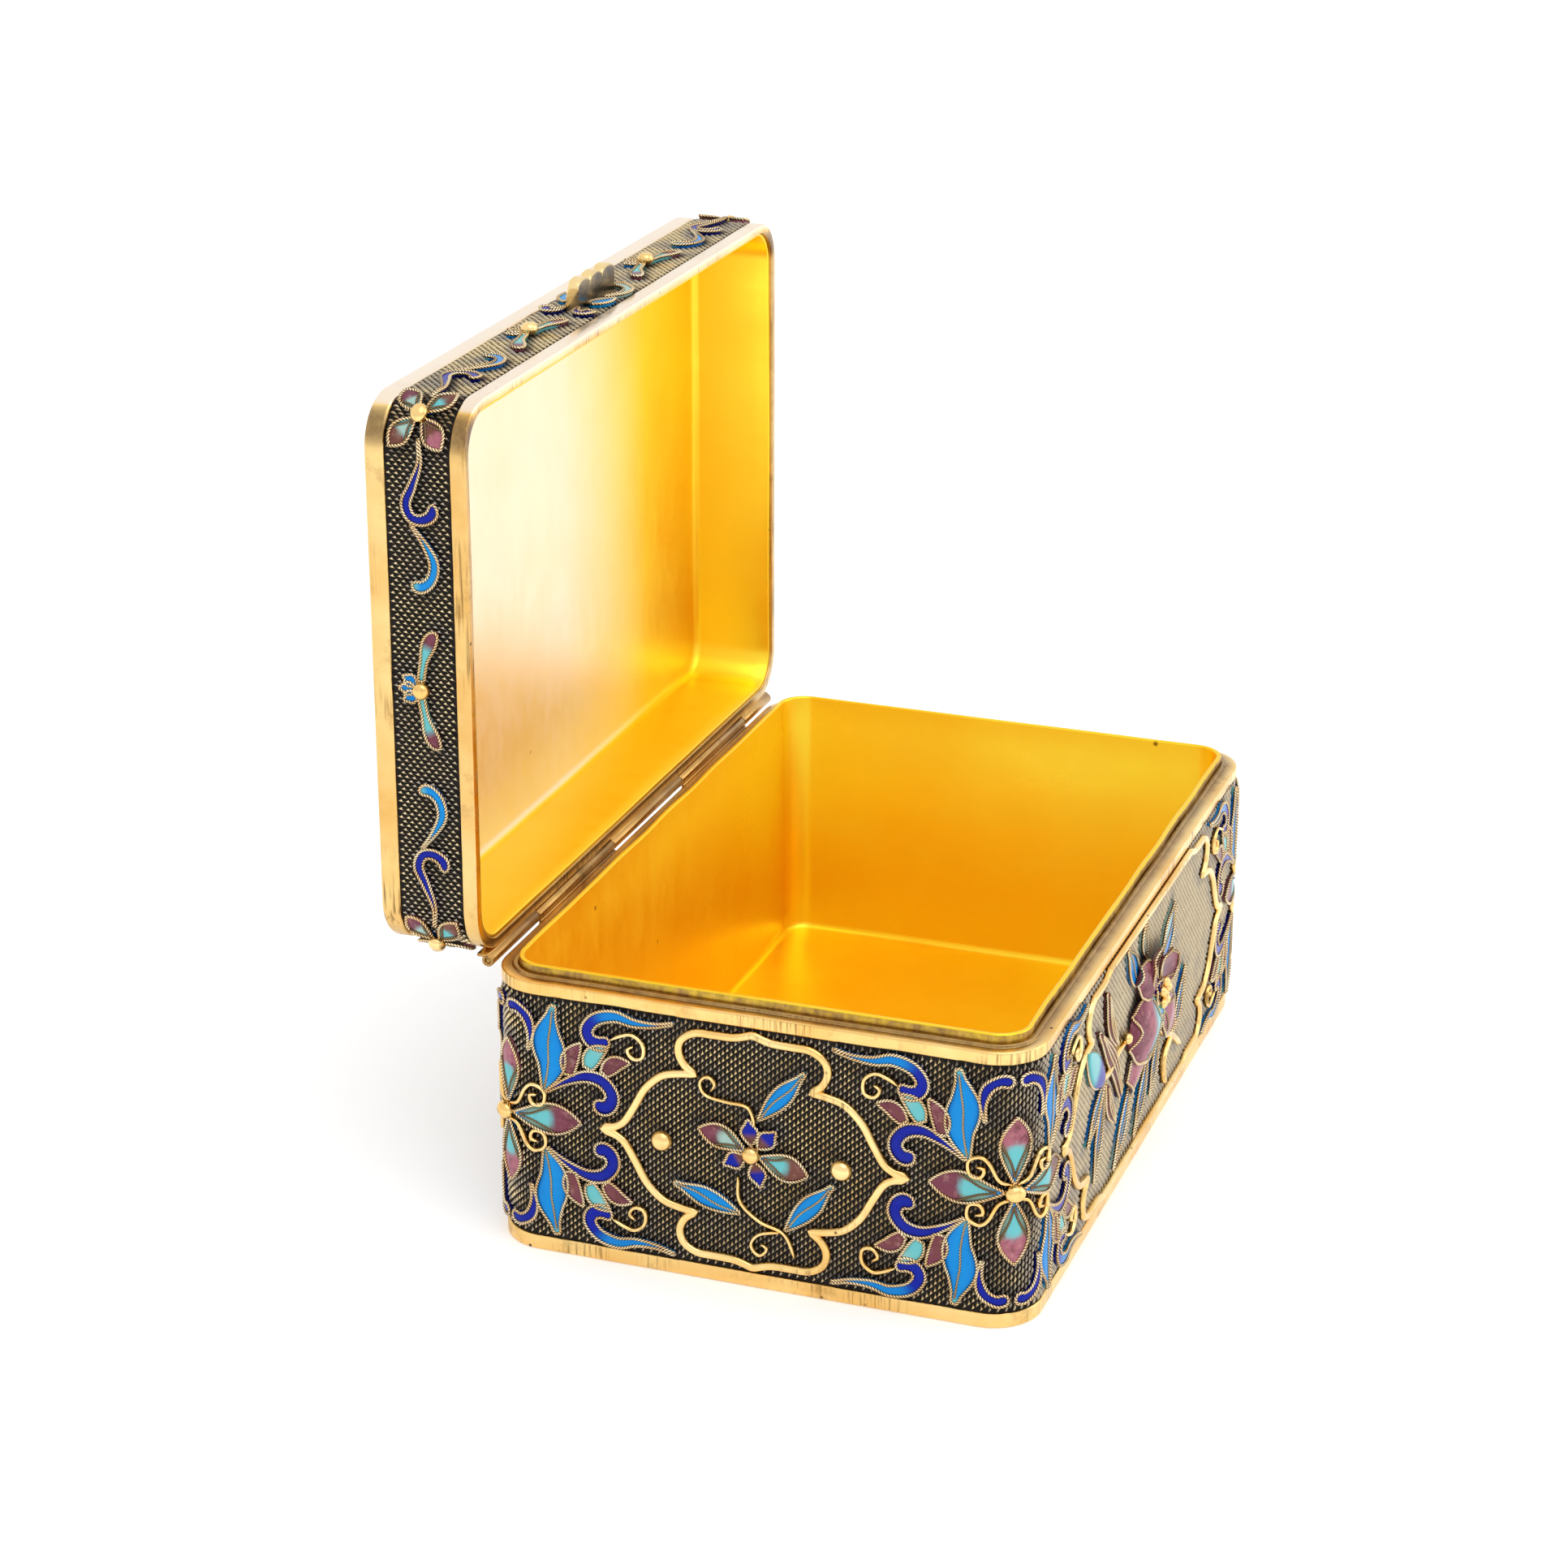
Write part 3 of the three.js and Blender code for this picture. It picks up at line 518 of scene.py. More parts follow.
def far_scrolls(spot, sweep):
    """Long scroll that runs in from the cartouche, and the open wire scroll beside it."""
    long = [(24.2, 16.2), (21.8, 15.6), (19.0, 15.5), (16.5, 16.0), (14.0, 15.3), (12.7, 13.7),
            (13.1, 12.3), (14.5, 11.9), (15.6, 12.7)]
    long = [(u - sweep * ramp(12, 24, u), v) for u, v in long]
    scroll(spot, long, 0.88, shaded(CYAN, COBALT, 0.52, 0.68))
    tendril(spot, [(15.9, 12.7), (17.2, 13.4), (18.8, 13.8), (20.2, 12.7), (20.2, 10.9), (18.9, 10.5),
                   (18.1, 11.6), (18.9, 12.2)])


def corner_spray(parts, middle, outward_side, full):
    """Flower on a corner, with a quarter of leaves and scrolls on each side of it."""
    flower = Spot(parts, panel(middle + outward_side * FLOWER_SHIFT, BODY_Z))
    for sign, tip in ((1, BROWN if outward_side < 0 else PURPLE), (-1, PURPLE)):
        flower_petal(flower, [(sign * 0.9, 0), (sign * 5.6, 0.2), (sign * 10.6, 0.3)], 2.15, tip)
        flower_petal(flower, [(0, sign * 0.9), (0.1, sign * 5.3), (0.2, sign * 10.1)], 1.95, ROSE)
    dome(flower, 0, 0, 1.2)
    for side, draw in ((outward_side, 0.0), (-outward_side, FRONT_DRAW)):
        for flip in (1, -1):
            spot = Spot(parts, panel(middle - side * draw, BODY_Z, side, flip))
            corner_quarter(spot, full or side == outward_side)
            far_scrolls(spot, 0.0 if side == outward_side else 1.0)


def middle_spray(spot):
    """Small flower with its stem and three leaves, inside a cartouche."""
    flower_petal(spot, [(-0.7, 0.2), (-3.9, 1.6), (-7.2, 2.4)], 1.6, PURPLE, PALE, OLIVE)
    flower_petal(spot, [(0.7, -0.2), (4.2, -1.2), (7.4, -1.9)], 1.8, BROWN, TURQUOISE, OLIVE)
    for u, v in ((-0.4, 3.3), (2.2, 2.5), (-2.7, -1.5), (0.8, -3.2)):
        points = [(share * u, share * v) for share in (0.35, 0.8, 1.4)]
        cell(spot, Shape(points, 1.15, leaf_form), shaded(BROWN, COBALT, 0.3, 0.5))
    dome(spot, 0, 0, 1.2)
    for points in ([(0.4, 3.9), (-0.6, 6.3), (-3.4, 6.6), (-6.2, 7.1), (-7.0, 8.7), (-6.0, 9.7), (-5.0, 8.9),
                    (-5.4, 7.9)],
                   [(-1.9, -3.6), (-1.7, -7.0), (0.9, -9.4), (4.2, -10.6), (5.7, -13.7)],
                   [(3.6, -10.5), (0.9, -11.3), (-0.2, -13.0), (0.9, -14.3), (2.0, -13.2), (1.2, -12.6)]):
        tendril(spot, points, 0.42)
    leaf(spot, [(0.9, 4.9), (4.1, 8.8), (6.9, 12.2)], 1.25)
    leaf(spot, [(-1.7, -8.7), (-6.3, -7.2), (-10.5, -5.9)], 1.35)
    leaf(spot, [(4.5, -10.0), (7.6, -6.3), (10.7, -2.7)], 1.35)


def ogee(grow_u, grow_v):
    """Closed line of the cartouche, sharp at its cusps and tips."""
    tip = [(20.0, 0), (17.6, 1.2), (16.0, 3.7), (14.4, 6.6), (12.2, 8.7), (9.9, 9.4), (7.7, 9.7)]
    lobe = [(7.7, 9.7), (9.2, 10.9), (9.9, 12.6), (9.4, 14.3), (7.6, 15.4), (5.2, 15.5), (2.4, 15.6),
            (0, 16.3)]
    quarter = np.concatenate([spline(np.array(part) + (grow_u, 0), 0.3)[0] for part in (tip, lobe)])
    quarter[:, 1] += grow_v * ramp(0, 7, quarter[:, 1])
    if grow_u > 0:
        reach = np.linspace(quarter[-1, 0], 0, 60)
        quarter = np.concatenate([quarter, np.c_[reach, np.full(60, quarter[-1, 1])]])
    return np.concatenate([quarter, (quarter * (-1, 1))[::-1], quarter * (-1, -1), (quarter * (1, -1))[::-1]])


def cartouche(spot, grow_u=0, grow_v=0):
    """Flat gilt wire round a panel, wider at its two tips."""
    line = ogee(grow_u, grow_v)
    tip = np.abs(line[:, 0]).max()
    flat_wire(spot, line, True, 1.05, 0.95,
              lambda p: 0.3 * ramp(1.6, 0.2, np.hypot(np.abs(p[:, 0]) - tip, p[:, 1])))
    note_cover(spot, line[::4])


# Peony of the front

def rose_petal(spot, points, half, colour, arch=0.6, notch=0.0, veins=True):
    """Standing petal along a midline of (u, v, h), arched across and notched at its tip."""
    points = np.array(points, float)
    shape = Shape(points[:, :2], half, rose_form)
    stops = np.linspace(0, 1, len(points))

    def over(t, q, lift=0.0):
        t, q = np.broadcast_arrays(np.asarray(t, float), np.asarray(q, float))
        back = t * (1 - notch * (1 - np.abs(q)) ** 1.4)
        height = np.interp(back, stops, points[:, 2]) + arch * (1 - q ** 2) * ramp(0, 0.5, t) + lift
        return np.concatenate([shape.at(back, q), height[..., None]], -1)

    tt, qq = np.meshgrid(np.linspace(0, 1, 17), np.linspace(-1, 1, 13), indexing="ij")
    high, tint = over(tt, qq), colour(tt, qq)
    rows = np.concatenate([high, high[:, ::-1] - (0, 0, 0.4)], 1)
    loft(spot.parts["enamel"], spot.place, rows, tint=np.concatenate([tint, tint[:, ::-1]], 1))
    edge, tip = np.linspace(0, 1, 60), np.linspace(1, -1, 40)
    twisted_wire(spot, np.concatenate([over(edge, 1.0), over(1.0, tip), over(edge[::-1], -1.0)]), True)
    if veins:
        s = np.linspace(0.1, 0.55, 20)
        for sign in (1, -1):
            path = over(s, sign * (0.1 + 0.75 * ((s - 0.1) / 0.45) ** 1.5), 0.05)
            twisted_wire(spot, path, radius=0.15, dull=0.3)
    note_cover(spot, shape.at(np.linspace(0, 1, 12), 0.0))


def rosy(t, q):
    """Turquoise foot, pink middle and purple tip."""
    body = mixed(mixed(CYAN_LIGHT, TURQUOISE, ramp(0, 0.25, t)), ROSE, ramp(0.42, 0.64, t))
    return mixed(body, PURPLE, ramp(0.68, 0.92, t + 0.12 * np.abs(q)))


def wine(t, q):
    """Cobalt foot, purple middle and pink tip."""
    return mixed(mixed(COBALT, PURPLE, ramp(0.1, 0.4, t)), ROSE, 0.7 * ramp(0.6, 1.0, t))


def blush(t, q):
    """Blue foot and pink petal, paler at its edges."""
    return mixed(mixed(CYAN, ROSE, ramp(0.05, 0.35, t)), PALE, 0.35 * ramp(0.5, 1.0, np.abs(q)))


def striped(t, q):
    """Long brown and purple stripes with a cobalt foot."""
    return mixed(mixed(PURPLE, BROWN, 0.5 + 0.5 * np.sin(9 * q)), COBALT, ramp(0.12, 0.0, t))


def peony_flower(spot):
    """Blue heart, seven standing petals and six gilt stamens."""
    dome(spot, 0.5, 3.0, 3.4, 0.0, 0.3, 20, "enamel", COBALT_DEEP)
    rose_petal(spot, [(1.5, 1.8, 1.7), (5.4, -0.8, 2.2), (9.2, -4.0, 1.7)], 3.0, blush, 0.5)
    rose_petal(spot, [(-0.6, 0.6, 1.3), (-5.0, -2.2, 1.1), (-10.0, -5.6, 0.7)], 2.9, blush, 0.7)
    rose_petal(spot, [(1.4, 4.4, 1.6), (3.4, 6.8, 2.4), (4.6, 8.8, 3.1)], 4.2, wine, -0.5)
    rose_petal(spot, [(0.6, 5.2, 1.6), (-1.6, 8.2, 2.0), (-3.8, 10.6, 2.6)], 2.9, wine, -0.3)
    rose_petal(spot, [(-1.0, 5.0, 2.2), (-4.4, 7.8, 1.9), (-7.8, 9.8, 1.1)], 2.6, wine, veins=False)
    rose_petal(spot, [(1.6, 0.8, 2.4), (-3.6, 1.0, 2.2), (-10.6, 2.6, 0.9)], 4.6, rosy, 0.8, 0.16)
    rose_petal(spot, [(0.4, 3.6, 2.0), (-1.2, 4.8, 2.5), (-2.6, 6.4, 2.6)], 1.7, plain(COBALT), -0.3,
               veins=False)
    for u, v in ((0.6, 4.0), (2.2, 4.4), (0.9, 5.7), (-0.7, 4.9), (-0.2, 2.9), (1.6, 2.8)):
        dome(spot, u, v, 0.74, 1.9, 0.95, 12)


def peony_leaves(spot):
    """Leaves, bud and striped leaves round the peony."""
    far_pale, near_pale = shaded(CYAN, PALE, 0.5, 1), shaded(CYAN, PALE, 0.6, 0.9)
    leaf(spot, [(-5.4, 7.2), (-8.4, 10.6), (-12.6, 15.6)], 1.7, far_pale)
    leaf(spot, [(-2.6, 10.2), (-3.8, 13.4), (-3.0, 16.6)], 1.2, shaded(CYAN, PALE, 0.1, 0.5))
    leaf(spot, [(5.6, 6.6), (9.2, 8.2), (12.8, 12.2)], 2.4, half_pale)
    leaf(spot, [(13.6, -8.4), (17.4, -5.0), (20.4, -0.4)], 1.6)
    leaf(spot, [(5.6, -4.6), (4.4, -8.4), (2.2, -12.2)], 1.5)
    leaf(spot, [(0.2, -5.0), (-2.0, -9.6), (-6.0, -14.6)], 1.7, near_pale)
    leaf(spot, [(-8.8, -4.8), (-11.8, -9.8), (-16.4, -14.6)], 1.7, near_pale)
    leaf(spot, [(-22.6, 1.4), (-26.6, -1.8), (-30.2, -4.8)], 1.4)
    leaf(spot, [(-22.8, 0.6), (-24.4, -5.2), (-26.4, -11.8)], 1.6, shaded(CYAN, PALE, 0.7, 1))
    side_bud = Shape([(-24.6, 2.4), (-28.2, 5.4), (-32.4, 9.4)], 2.1, bud_form)
    cell(spot, side_bud, shaded(COBALT, TURQUOISE, 0.25, 0.5), top=1.3)
    t = np.linspace(0.04, 0.96, 40)
    for points, half in (([(-17.2, 4.0), (-20.6, 8.4), (-22.8, 13.8)], 1.1),
                         ([(-14.4, -4.8), (-18.2, 1.8), (-26.0, 9.4)], 1.5),
                         ([(-17.4, -7.0), (-20.0, -3.4), (-21.8, 0.2)], 1.2)):
        shape = Shape(points, half, leaf_form)
        cell(spot, shape, striped, top=1.1)
        for q in (-0.5, 0.0, 0.5):
            twisted_wire(spot, shape.at(t, q), radius=0.15, height=1.1)


def peony(spot):
    """The peony with its leaves and stems."""
    peony_leaves(spot)
    for points in ([(-3.0, 1.0), (-10.0, 2.4), (-16.4, 2.4), (-21.0, 1.6), (-25.6, 2.6)],
                   [(4.0, -2.0), (9.0, -5.8), (14.2, -8.5), (18.6, -11.6)],
                   [(13.4, -8.2), (9.8, -10.2), (10.6, -14.2)]):
        tendril(spot, points, 0.95, 1.1)
    dome(spot, -13.6, 3.4, 0.8, 0.6, 0.9, 12)
    peony_flower(spot)


# Lid ornaments

def band_spray(parts, middle):
    """Slanting flower on a corner of the lid's band, with two scrolls on each side."""
    flower = Spot(parts, panel(middle, LID_Z, lid=True))
    for su, sv, colours in ((1, 1, (PURPLE, PALE, OLIVE)), (1, -1, (BROWN, TURQUOISE, OLIVE)),
                            (-1, -1, (ROSE, BROWN, BROWN)), (-1, 1, (BROWN, PALE, TURQUOISE))):
        points = [(su * 0.3, sv * 0.3), (su * 2.0, sv * 1.9), (su * 3.9, sv * 3.4)]
        flower_petal(flower, points, 1.35, *colours)
    dome(flower, 0, 0, 1.15)
    for side in (1, -1):
        spot = Spot(parts, panel(middle, LID_Z, side, lid=True))
        scroll(spot, [(3.0, -0.4), (5.6, -0.6), (8.7, 0.5), (10.9, 1.4), (12.6, 0.8), (12.9, -0.7),
                      (12.1, -2.0), (10.8, -2.2)], 0.66)
        scroll(spot, [(13.6, 0.8), (16.0, -1.0), (18.3, -2.1), (20.4, -1.7), (21.5, -0.4), (21.3, 0.9)], 0.66,
               leaf_colour)


def butterfly(parts, middle):
    """Two wings, three short feathers and a bead, on the lid's band."""
    spot = Spot(parts, panel(middle, LID_Z, lid=True))
    for sign in (1, -1):
        points = [(sign * 1.1, 0.2), (sign * 4.2, -0.4), (sign * 6.4, -1.2), (sign * 7.6, -2.0)]
        cell(spot, Shape(points, 0.95, wing_form), shaded(TURQUOISE, PURPLE, 0.6, 0.72))
    for u, v in ((-1.2, 2.1), (0.0, 2.6), (1.2, 2.1)):
        points = [(0.35 * u, 0.8), (0.8 * u, 0.7 * v), (1.35 * u, 1.2 * v)]
        cell(spot, Shape(points, 0.85, leaf_form), plain(CYAN))
    dome(spot, 0, 0, 1.15)


def clasp_flower(parts):
    """Scrolls and leaves that show beside the thumb piece."""
    for flip in (1, -1):
        spot = Spot(parts, panel(0, LID_Z, 1, flip, lid=True))
        scroll(spot, [(-6.2, -0.9), (-8.0, -1.4), (-8.5, -2.6), (-7.0, -3.3)], 0.75)
        bud(spot, [(-3.6, -1.6), (-1.8, -2.7), (0.2, -3.6)], 1.05, plain(CYAN_LIGHT))
        scroll(spot, [(0.6, -2.0), (3.0, -3.4), (5.6, -3.3), (7.2, -1.6), (7.6, -0.5)], 0.7, plain(PALE))


def top_spray(spot):
    """Three petals and two long scrolls in a corner of the lid's top."""
    for points in ([(0.4, 0.2), (3.6, 0.5), (7.4, 0.9)], [(0.2, 0.4), (0.5, 3.6), (0.9, 7.4)],
                   [(-0.3, -0.3), (-2.2, -2.2), (-4.2, -4.2)]):
        flower_petal(spot, points, 1.6)
    dome(spot, 0, 0, 1.2)
    hook = [(1.4, -0.8), (6.0, -3.0), (12.0, -2.2), (15.6, 0.2), (15.4, 2.4), (13.8, 2.8)]
    scroll(spot, hook, 0.7)
    scroll(spot, [(v, u) for u, v in hook], 0.7)


# Woven ground

def cover_tree():
    """Finds how far a place on the ground is from the nearest ornament."""
    covered = np.concatenate(COVERED)
    tree = kdtree.KDTree(len(covered))
    for index, point in enumerate(covered):
        tree.insert(point, index)
    tree.balance()
    return tree


def woven(name, body, material, tree, wear, seed, area, place):
    """Raised slanting grains of the woven wire over a panel, worn bright where no ornament is near."""
    u0, u1, v0, v1 = area
    rng = np.random.default_rng(seed)
    columns = int((u1 - u0) / GRAIN_STEP)
    rows = int((v1 - v0) / GRAIN_REPEAT) + 1
    c, r = np.meshgrid(np.arange(columns), np.arange(rows), indexing="ij")
    u = (u0 + (c + 0.5) * (u1 - u0) / columns).ravel()
    v = (v0 + (r + 0.5 * (c % 2) + 0.1) * (v1 - v0) / (rows - 0.4)).ravel()
    keep = (v > v0 + 0.15) & (v < v1 - 0.1)
    u, v = u[keep], v[keep]
    u = u + rng.normal(0, 0.012, len(u))
    v = v + rng.normal(0, 0.015, len(v))
    high = GRAIN_HIGH * (1 + rng.normal(0, 0.08, len(u)))
    local = np.repeat(np.array(GRAIN_SHAPE)[None], len(u), 0)
    local[..., 0] += u[:, None]
    local[..., 1] = np.clip(local[..., 1] + v[:, None], v0, v1)
    local[..., 2] = 0.02 + local[..., 2] * high[:, None]
    points = place(local.reshape(-1, 3)).reshape(-1, 6, 3)
    middle = place(np.c_[u, v, np.zeros(len(u))])
    faces = np.array(GRAIN_FACES)
    a, b, crest = points[0, [0, 1, 4]]
    out = place(np.array([[u[0], v[0], 1.0]]))[0] - middle[0]
    if np.dot(np.cross(b - a, crest - a), out) < 0:
        faces = faces[:, ::-1]
    tint = np.zeros((len(middle), 6, 3))
    tint[..., 0] = wear * ramp(0.6, 2.4, np.array([tree.find(m)[2] for m in middle]))[:, None]
    tint[..., 1] = GRAIN_SHINE
    tris = (np.arange(len(middle))[:, None, None] * 6 + faces[None]).reshape(-1, 3)
    batch = Batch()
    batch.add(points.reshape(-1, 3), NO_QUADS, tris, tint)
    batch.make(name, material, body, "woven_wire", smooth=False)


def weaves(material):
    """The four walls of the body, the lid's band and the lid's top."""
    tree = cover_tree()
    for name, start, end, wear, seed in (("front", -FRONT_CORNER, FRONT_CORNER, 0.35, 5),
                                         ("right", FRONT_CORNER, BACK_CORNER, 1.0, 5),
                                         ("back", BACK_CORNER, ROUND - BACK_CORNER, 0.35, 4),
                                         ("left", -BACK_CORNER, -FRONT_CORNER, 1.0, 4)):
        area = (start, end, BASE_RIM, HEIGHT - TOP_RIM)
        woven(f"box_weave_{name}", "box", material, tree, wear, seed, area, panel(0, 0))
    band = (-ROUND / 2, ROUND / 2, MOUTH_Z + MOUTH_RIM, LID_TOP_Z - LID_RIM)
    woven("lid_weave_sides", "lid", material, tree, 0.75, 31, band, panel(0, 0, lid=True))
    half_x, half_y = LENGTH / 2 - LID_BORDER, WIDTH / 2 - LID_BORDER
    top = (-half_x, half_x, -half_y, half_y)
    woven("lid_weave_panel", "lid", material, tree, 0.6, 32, top, top_panel(0, 0))


# Rims and liners

def outline(inset):
    """Points round the rounded rectangle, set in from the rims' face."""
    radius = max(RADIUS - inset, 0.25)
    x, y = LENGTH / 2 - inset - radius, WIDTH / 2 - inset - radius
    points = []
    for corner, (cx, cy) in enumerate(((x, y), (-x, y), (-x, -y), (x, -y))):
        angle = (corner + np.linspace(0, 1, CORNER_STEPS + 1)) * math.pi / 2
        points.append(np.stack([cx + radius * np.cos(angle), cy + radius * np.sin(angle)], -1))
    joined = []
    for corner in range(4):
        joined.append(points[corner])
        steps = LONG_STEPS if corner % 2 == 0 else SHORT_STEPS
        share = np.linspace(0, 1, steps + 1)[1:-1, None]
        joined.append(points[corner][-1:] * (1 - share) + points[(corner + 1) % 4][:1] * share)
    return np.concatenate(joined)


def wobble(points, size, seed):
    """Small unevenness of hand-worked sheet."""
    rng = np.random.default_rng(seed)
    shift = np.zeros_like(points)
    for _ in range(5):
        wave = rng.normal(0, 1, 3)
        wave *= rng.uniform(0.1, 0.5) / np.linalg.norm(wave)
        push = rng.normal(0, 1, 3)
        push /= np.linalg.norm(push)
        shift += np.sin(points @ wave + rng.uniform(0, 6.3))[:, None] * push
    return points + shift * size / 3


def rounded(profile, radius, steps=3):
    """Softens the corners of a closed (inset, z) profile."""
    p = np.asarray(profile, float)
    out = []
    for k in range(len(p)):
        a, b, c = p[k - 1], p[k], p[(k + 1) % len(p)]
        u, v = a - b, c - b
        lu, lv = np.linalg.norm(u), np.linalg.norm(v)
        cut = min(radius, 0.45 * lu, 0.45 * lv)
        start, end = b + u / lu * cut, b + v / lv * cut
        for t in np.linspace(0, 1, steps + 1):
            out.append((1 - t) ** 2 * start + 2 * t * (1 - t) * b + t ** 2 * end)
    return np.array(out)


def even_tone(inset, z):
    """Gilding of one tone."""
    return np.ones(len(z))


def unworn(points):
    """No tarnish and no painted sheen."""
    return np.zeros(len(points))


def lid_tarnish_and_sheen(points):
    """Olive tarnish at the lid's front corners, and a pale sheen painted on the front face of the rims."""
    tarnish_and_sheen = np.zeros(len(points))
    for side in (-1, 1):
        reach = wall(np.array(side * (FRONT_CORNER + 1.5)), np.array(0.0), 0.0)[:2] - points[:, :2]
        tarnish_and_sheen = np.maximum(tarnish_and_sheen, np.exp(-(np.hypot(*reach.T) / 2.4) ** 4))
    # Tarnish at the front corners, less a painted pale sheen along the outer front face that lifts the tone
    # above one.
    return 0.6 * tarnish_and_sheen - 0.9 * ramp(1.6 - WIDTH / 2, 0.9 - WIDTH / 2, points[:, 1])


def swept(name, node, body, slot, material, profile, closed, seed, uneven, tone=even_tone, tarnish_and_sheen=unworn):
    """Skin round the outline; a profile row is (inset, z), and open ends are closed with plates."""
    profile = np.asarray(profile, float)
    rings = [outline(inset) for inset in profile[:, 0]]
    count, rows = len(rings[0]), len(rings)
    points = np.c_[np.concatenate(rings), np.repeat(profile[:, 1], count)]
    tone = tone(profile[:, 0], profile[:, 1])
    # Subtracts tarnish, and adds a painted pale sheen where the subtracted value is negative.
    shade = np.repeat(tone, count) - tarnish_and_sheen(points)
    points = (opened if body == "lid" else same)(wobble(points, uneven, seed))
    tris = NO_TRIS
    if not closed:
        shade = np.concatenate([shade, tone[[0, -1]]])
        for row, turn in ((0, 1), (rows - 1, -1)):
            ring = row * count + np.arange(count)
            fan = np.stack([np.full(count, len(points)), np.roll(ring, -1), ring], -1)[:, ::turn]
            points = np.concatenate([points, points[ring].mean(0)[None]])
            tris = np.concatenate([tris, fan])
    quads, tris = outward(points, grid_faces(rows, count, closed), tris)
    batch = Batch()
    batch.add(points, quads, tris, np.repeat(shade[:, None], 3, 1))
    batch.make(name, material, body, slot, node)


def base_plate(rim):
    """Plain plate under the body."""
    plate = [(RIM_THICK, 0.05), (RIM_THICK, 0.8)]
    swept("base_plate_skin", "box_base_plate", "box", "gilt", rim, plate, False, 1, 0.02)


def base_rim(rim):
    """Flat rim round the foot."""
    band = [(0, 0), (0, BASE_RIM), (RIM_THICK, BASE_RIM), (RIM_THICK, 0)]
    swept("base_rim_skin", "box_base_rim", "box", "gilt", rim, rounded(band, 0.25), True, 2, 0.03)


def shoulder_tone(inset, z):
    """Dull ledge beside the lip, and the rough step under it."""
    return 1 - 0.75 * ramp(0.3, 0.9, inset) * ramp(HEIGHT - 0.6, HEIGHT - 0.1, z)


def top_rim(rim):
    """Rim round the top of the body, with its stepped ledge."""
    ledge = HEIGHT + STEP_HEIGHT
    steps = [(0, HEIGHT - TOP_RIM), (0, HEIGHT), (STEP_INSET, HEIGHT - 0.05), (STEP_INSET, ledge),
             (LIP_INSET, ledge), (LIP_INSET, HEIGHT - TOP_RIM)]
    band = rounded(steps, 0.3)
    swept("top_rim_skin", "box_top_rim", "box", "gilt", rim, band, True, 3, 0.04, shoulder_tone)


def lip_tone(inset, z):
    """Brown outer face of the lip."""
    outer = (inset <= LIP_INSET + 0.1) & (z < HEIGHT + LIP_HEIGHT - 0.1)
    return np.where(outer, 0.0, 1.0)


def box_liner(inside):
    """Inside of the body, from the lip down to the floor, with a coved foot."""
    inner, lip = LIP_INSET + LIP_THICK, HEIGHT + LIP_HEIGHT
    wall_rows = [
        (RIM_THICK, 0.85), (RIM_THICK, BASE_RIM), (LIP_INSET, BASE_RIM), (LIP_INSET, HEIGHT),
        (LIP_INSET, lip - 0.25), (LIP_INSET + 0.08, lip - 0.06), (LIP_INSET + 0.25, lip),
        (inner - 0.25, lip), (inner - 0.08, lip - 0.06), (inner, lip - 0.25), (inner, HEIGHT - 2.9),
        (inner + 0.12, HEIGHT - 3.1), (inner + 0.12, FLOOR_Z + 1.2), (inner + 0.3, FLOOR_Z + 0.5),
        (inner + 0.7, FLOOR_Z + 0.12), (inner + 1.3, FLOOR_Z), (inner + 12, FLOOR_Z)]
    swept("liner_skin", "box_liner", "box", "gilt_inside", inside, wall_rows, False, 4, 0.12, lip_tone)


def mouth_tone(inset, z):
    """Handled gilding, duller on the face that meets the body."""
    return 0.78 - 0.4 * ramp(0.2, 0.5, inset) * ramp(MOUTH_Z + 0.4, MOUTH_Z, z)


def lid_mouth_rim(rim):
    """Flat rim round the mouth of the lid."""
    top = MOUTH_Z + MOUTH_RIM
    band = rounded([(0, MOUTH_Z), (0, top), (LID_LINER, top), (LID_LINER, MOUTH_Z)], 0.2)
    swept("lid_mouth_skin", "lid_mouth_rim", "lid", "gilt", rim, band, True, 5, 0.03, mouth_tone, lid_tarnish_and_sheen)


def border_tone(inset, z):
    """Handled gilding of the lid's border."""
    return np.full(len(z), 0.8)


def lid_top_rim(rim):
    """Border that folds over the edge of the lid's top."""
    band, under = LID_TOP_Z - LID_RIM, CEILING_Z + 0.55
    fold = rounded([(0, band), (0, LID_TOP_Z), (LID_BORDER, LID_TOP_Z), (LID_BORDER, under),
                    (LID_LINER, under), (LID_LINER, band)], 0.8, 6)
    swept("lid_rim_skin", "lid_top_rim", "lid", "gilt", rim, fold, True, 6, 0.03, border_tone, lid_tarnish_and_sheen)


def lid_reflection_tone(inset, z):
    """Painted pale reflection on the flat of the lid's inside: tone 2 there, 1 elsewhere."""
    return np.where(z > CEILING_Z - 0.1, 2.0, 1.0)


def lid_liner(inside):
    """Inside of the lid, with a coved edge round its flat."""
    skin, wall_in = LID_LINER + 0.02, LID_WALL + 0.1
    rows = [
        (skin, CEILING_Z + 0.45), (skin, LINER_MOUTH + 0.15), (LID_LINER + 0.15, LINER_MOUTH),
        (LID_WALL - 0.15, LINER_MOUTH), (LID_WALL, LINER_MOUTH + 0.15), (LID_WALL, MOUTH_Z + 2.6),
        (wall_in, MOUTH_Z + 2.8), (wall_in, CEILING_Z - 1.2), (LID_WALL + 0.35, CEILING_Z - 0.45),
        (LID_WALL + 0.9, CEILING_Z - 0.08), (LID_WALL + 1.6, CEILING_Z), (LID_WALL + 12, CEILING_Z)]
    swept("lid_liner_skin", "lid_liner", "lid", "gilt_inside", inside, rows, False, 7, 0.12, lid_reflection_tone)


# Hinge and thumb piece

def hinge_ring(x, radius, sides):
    """Ring of points round the hinge axis."""
    around = 2 * math.pi * np.arange(sides) / sides
    y, z = AXIS_Y + radius * np.cos(around), AXIS_Z + radius * np.sin(around)
    return np.stack([np.full(sides, x), y, z], -1)


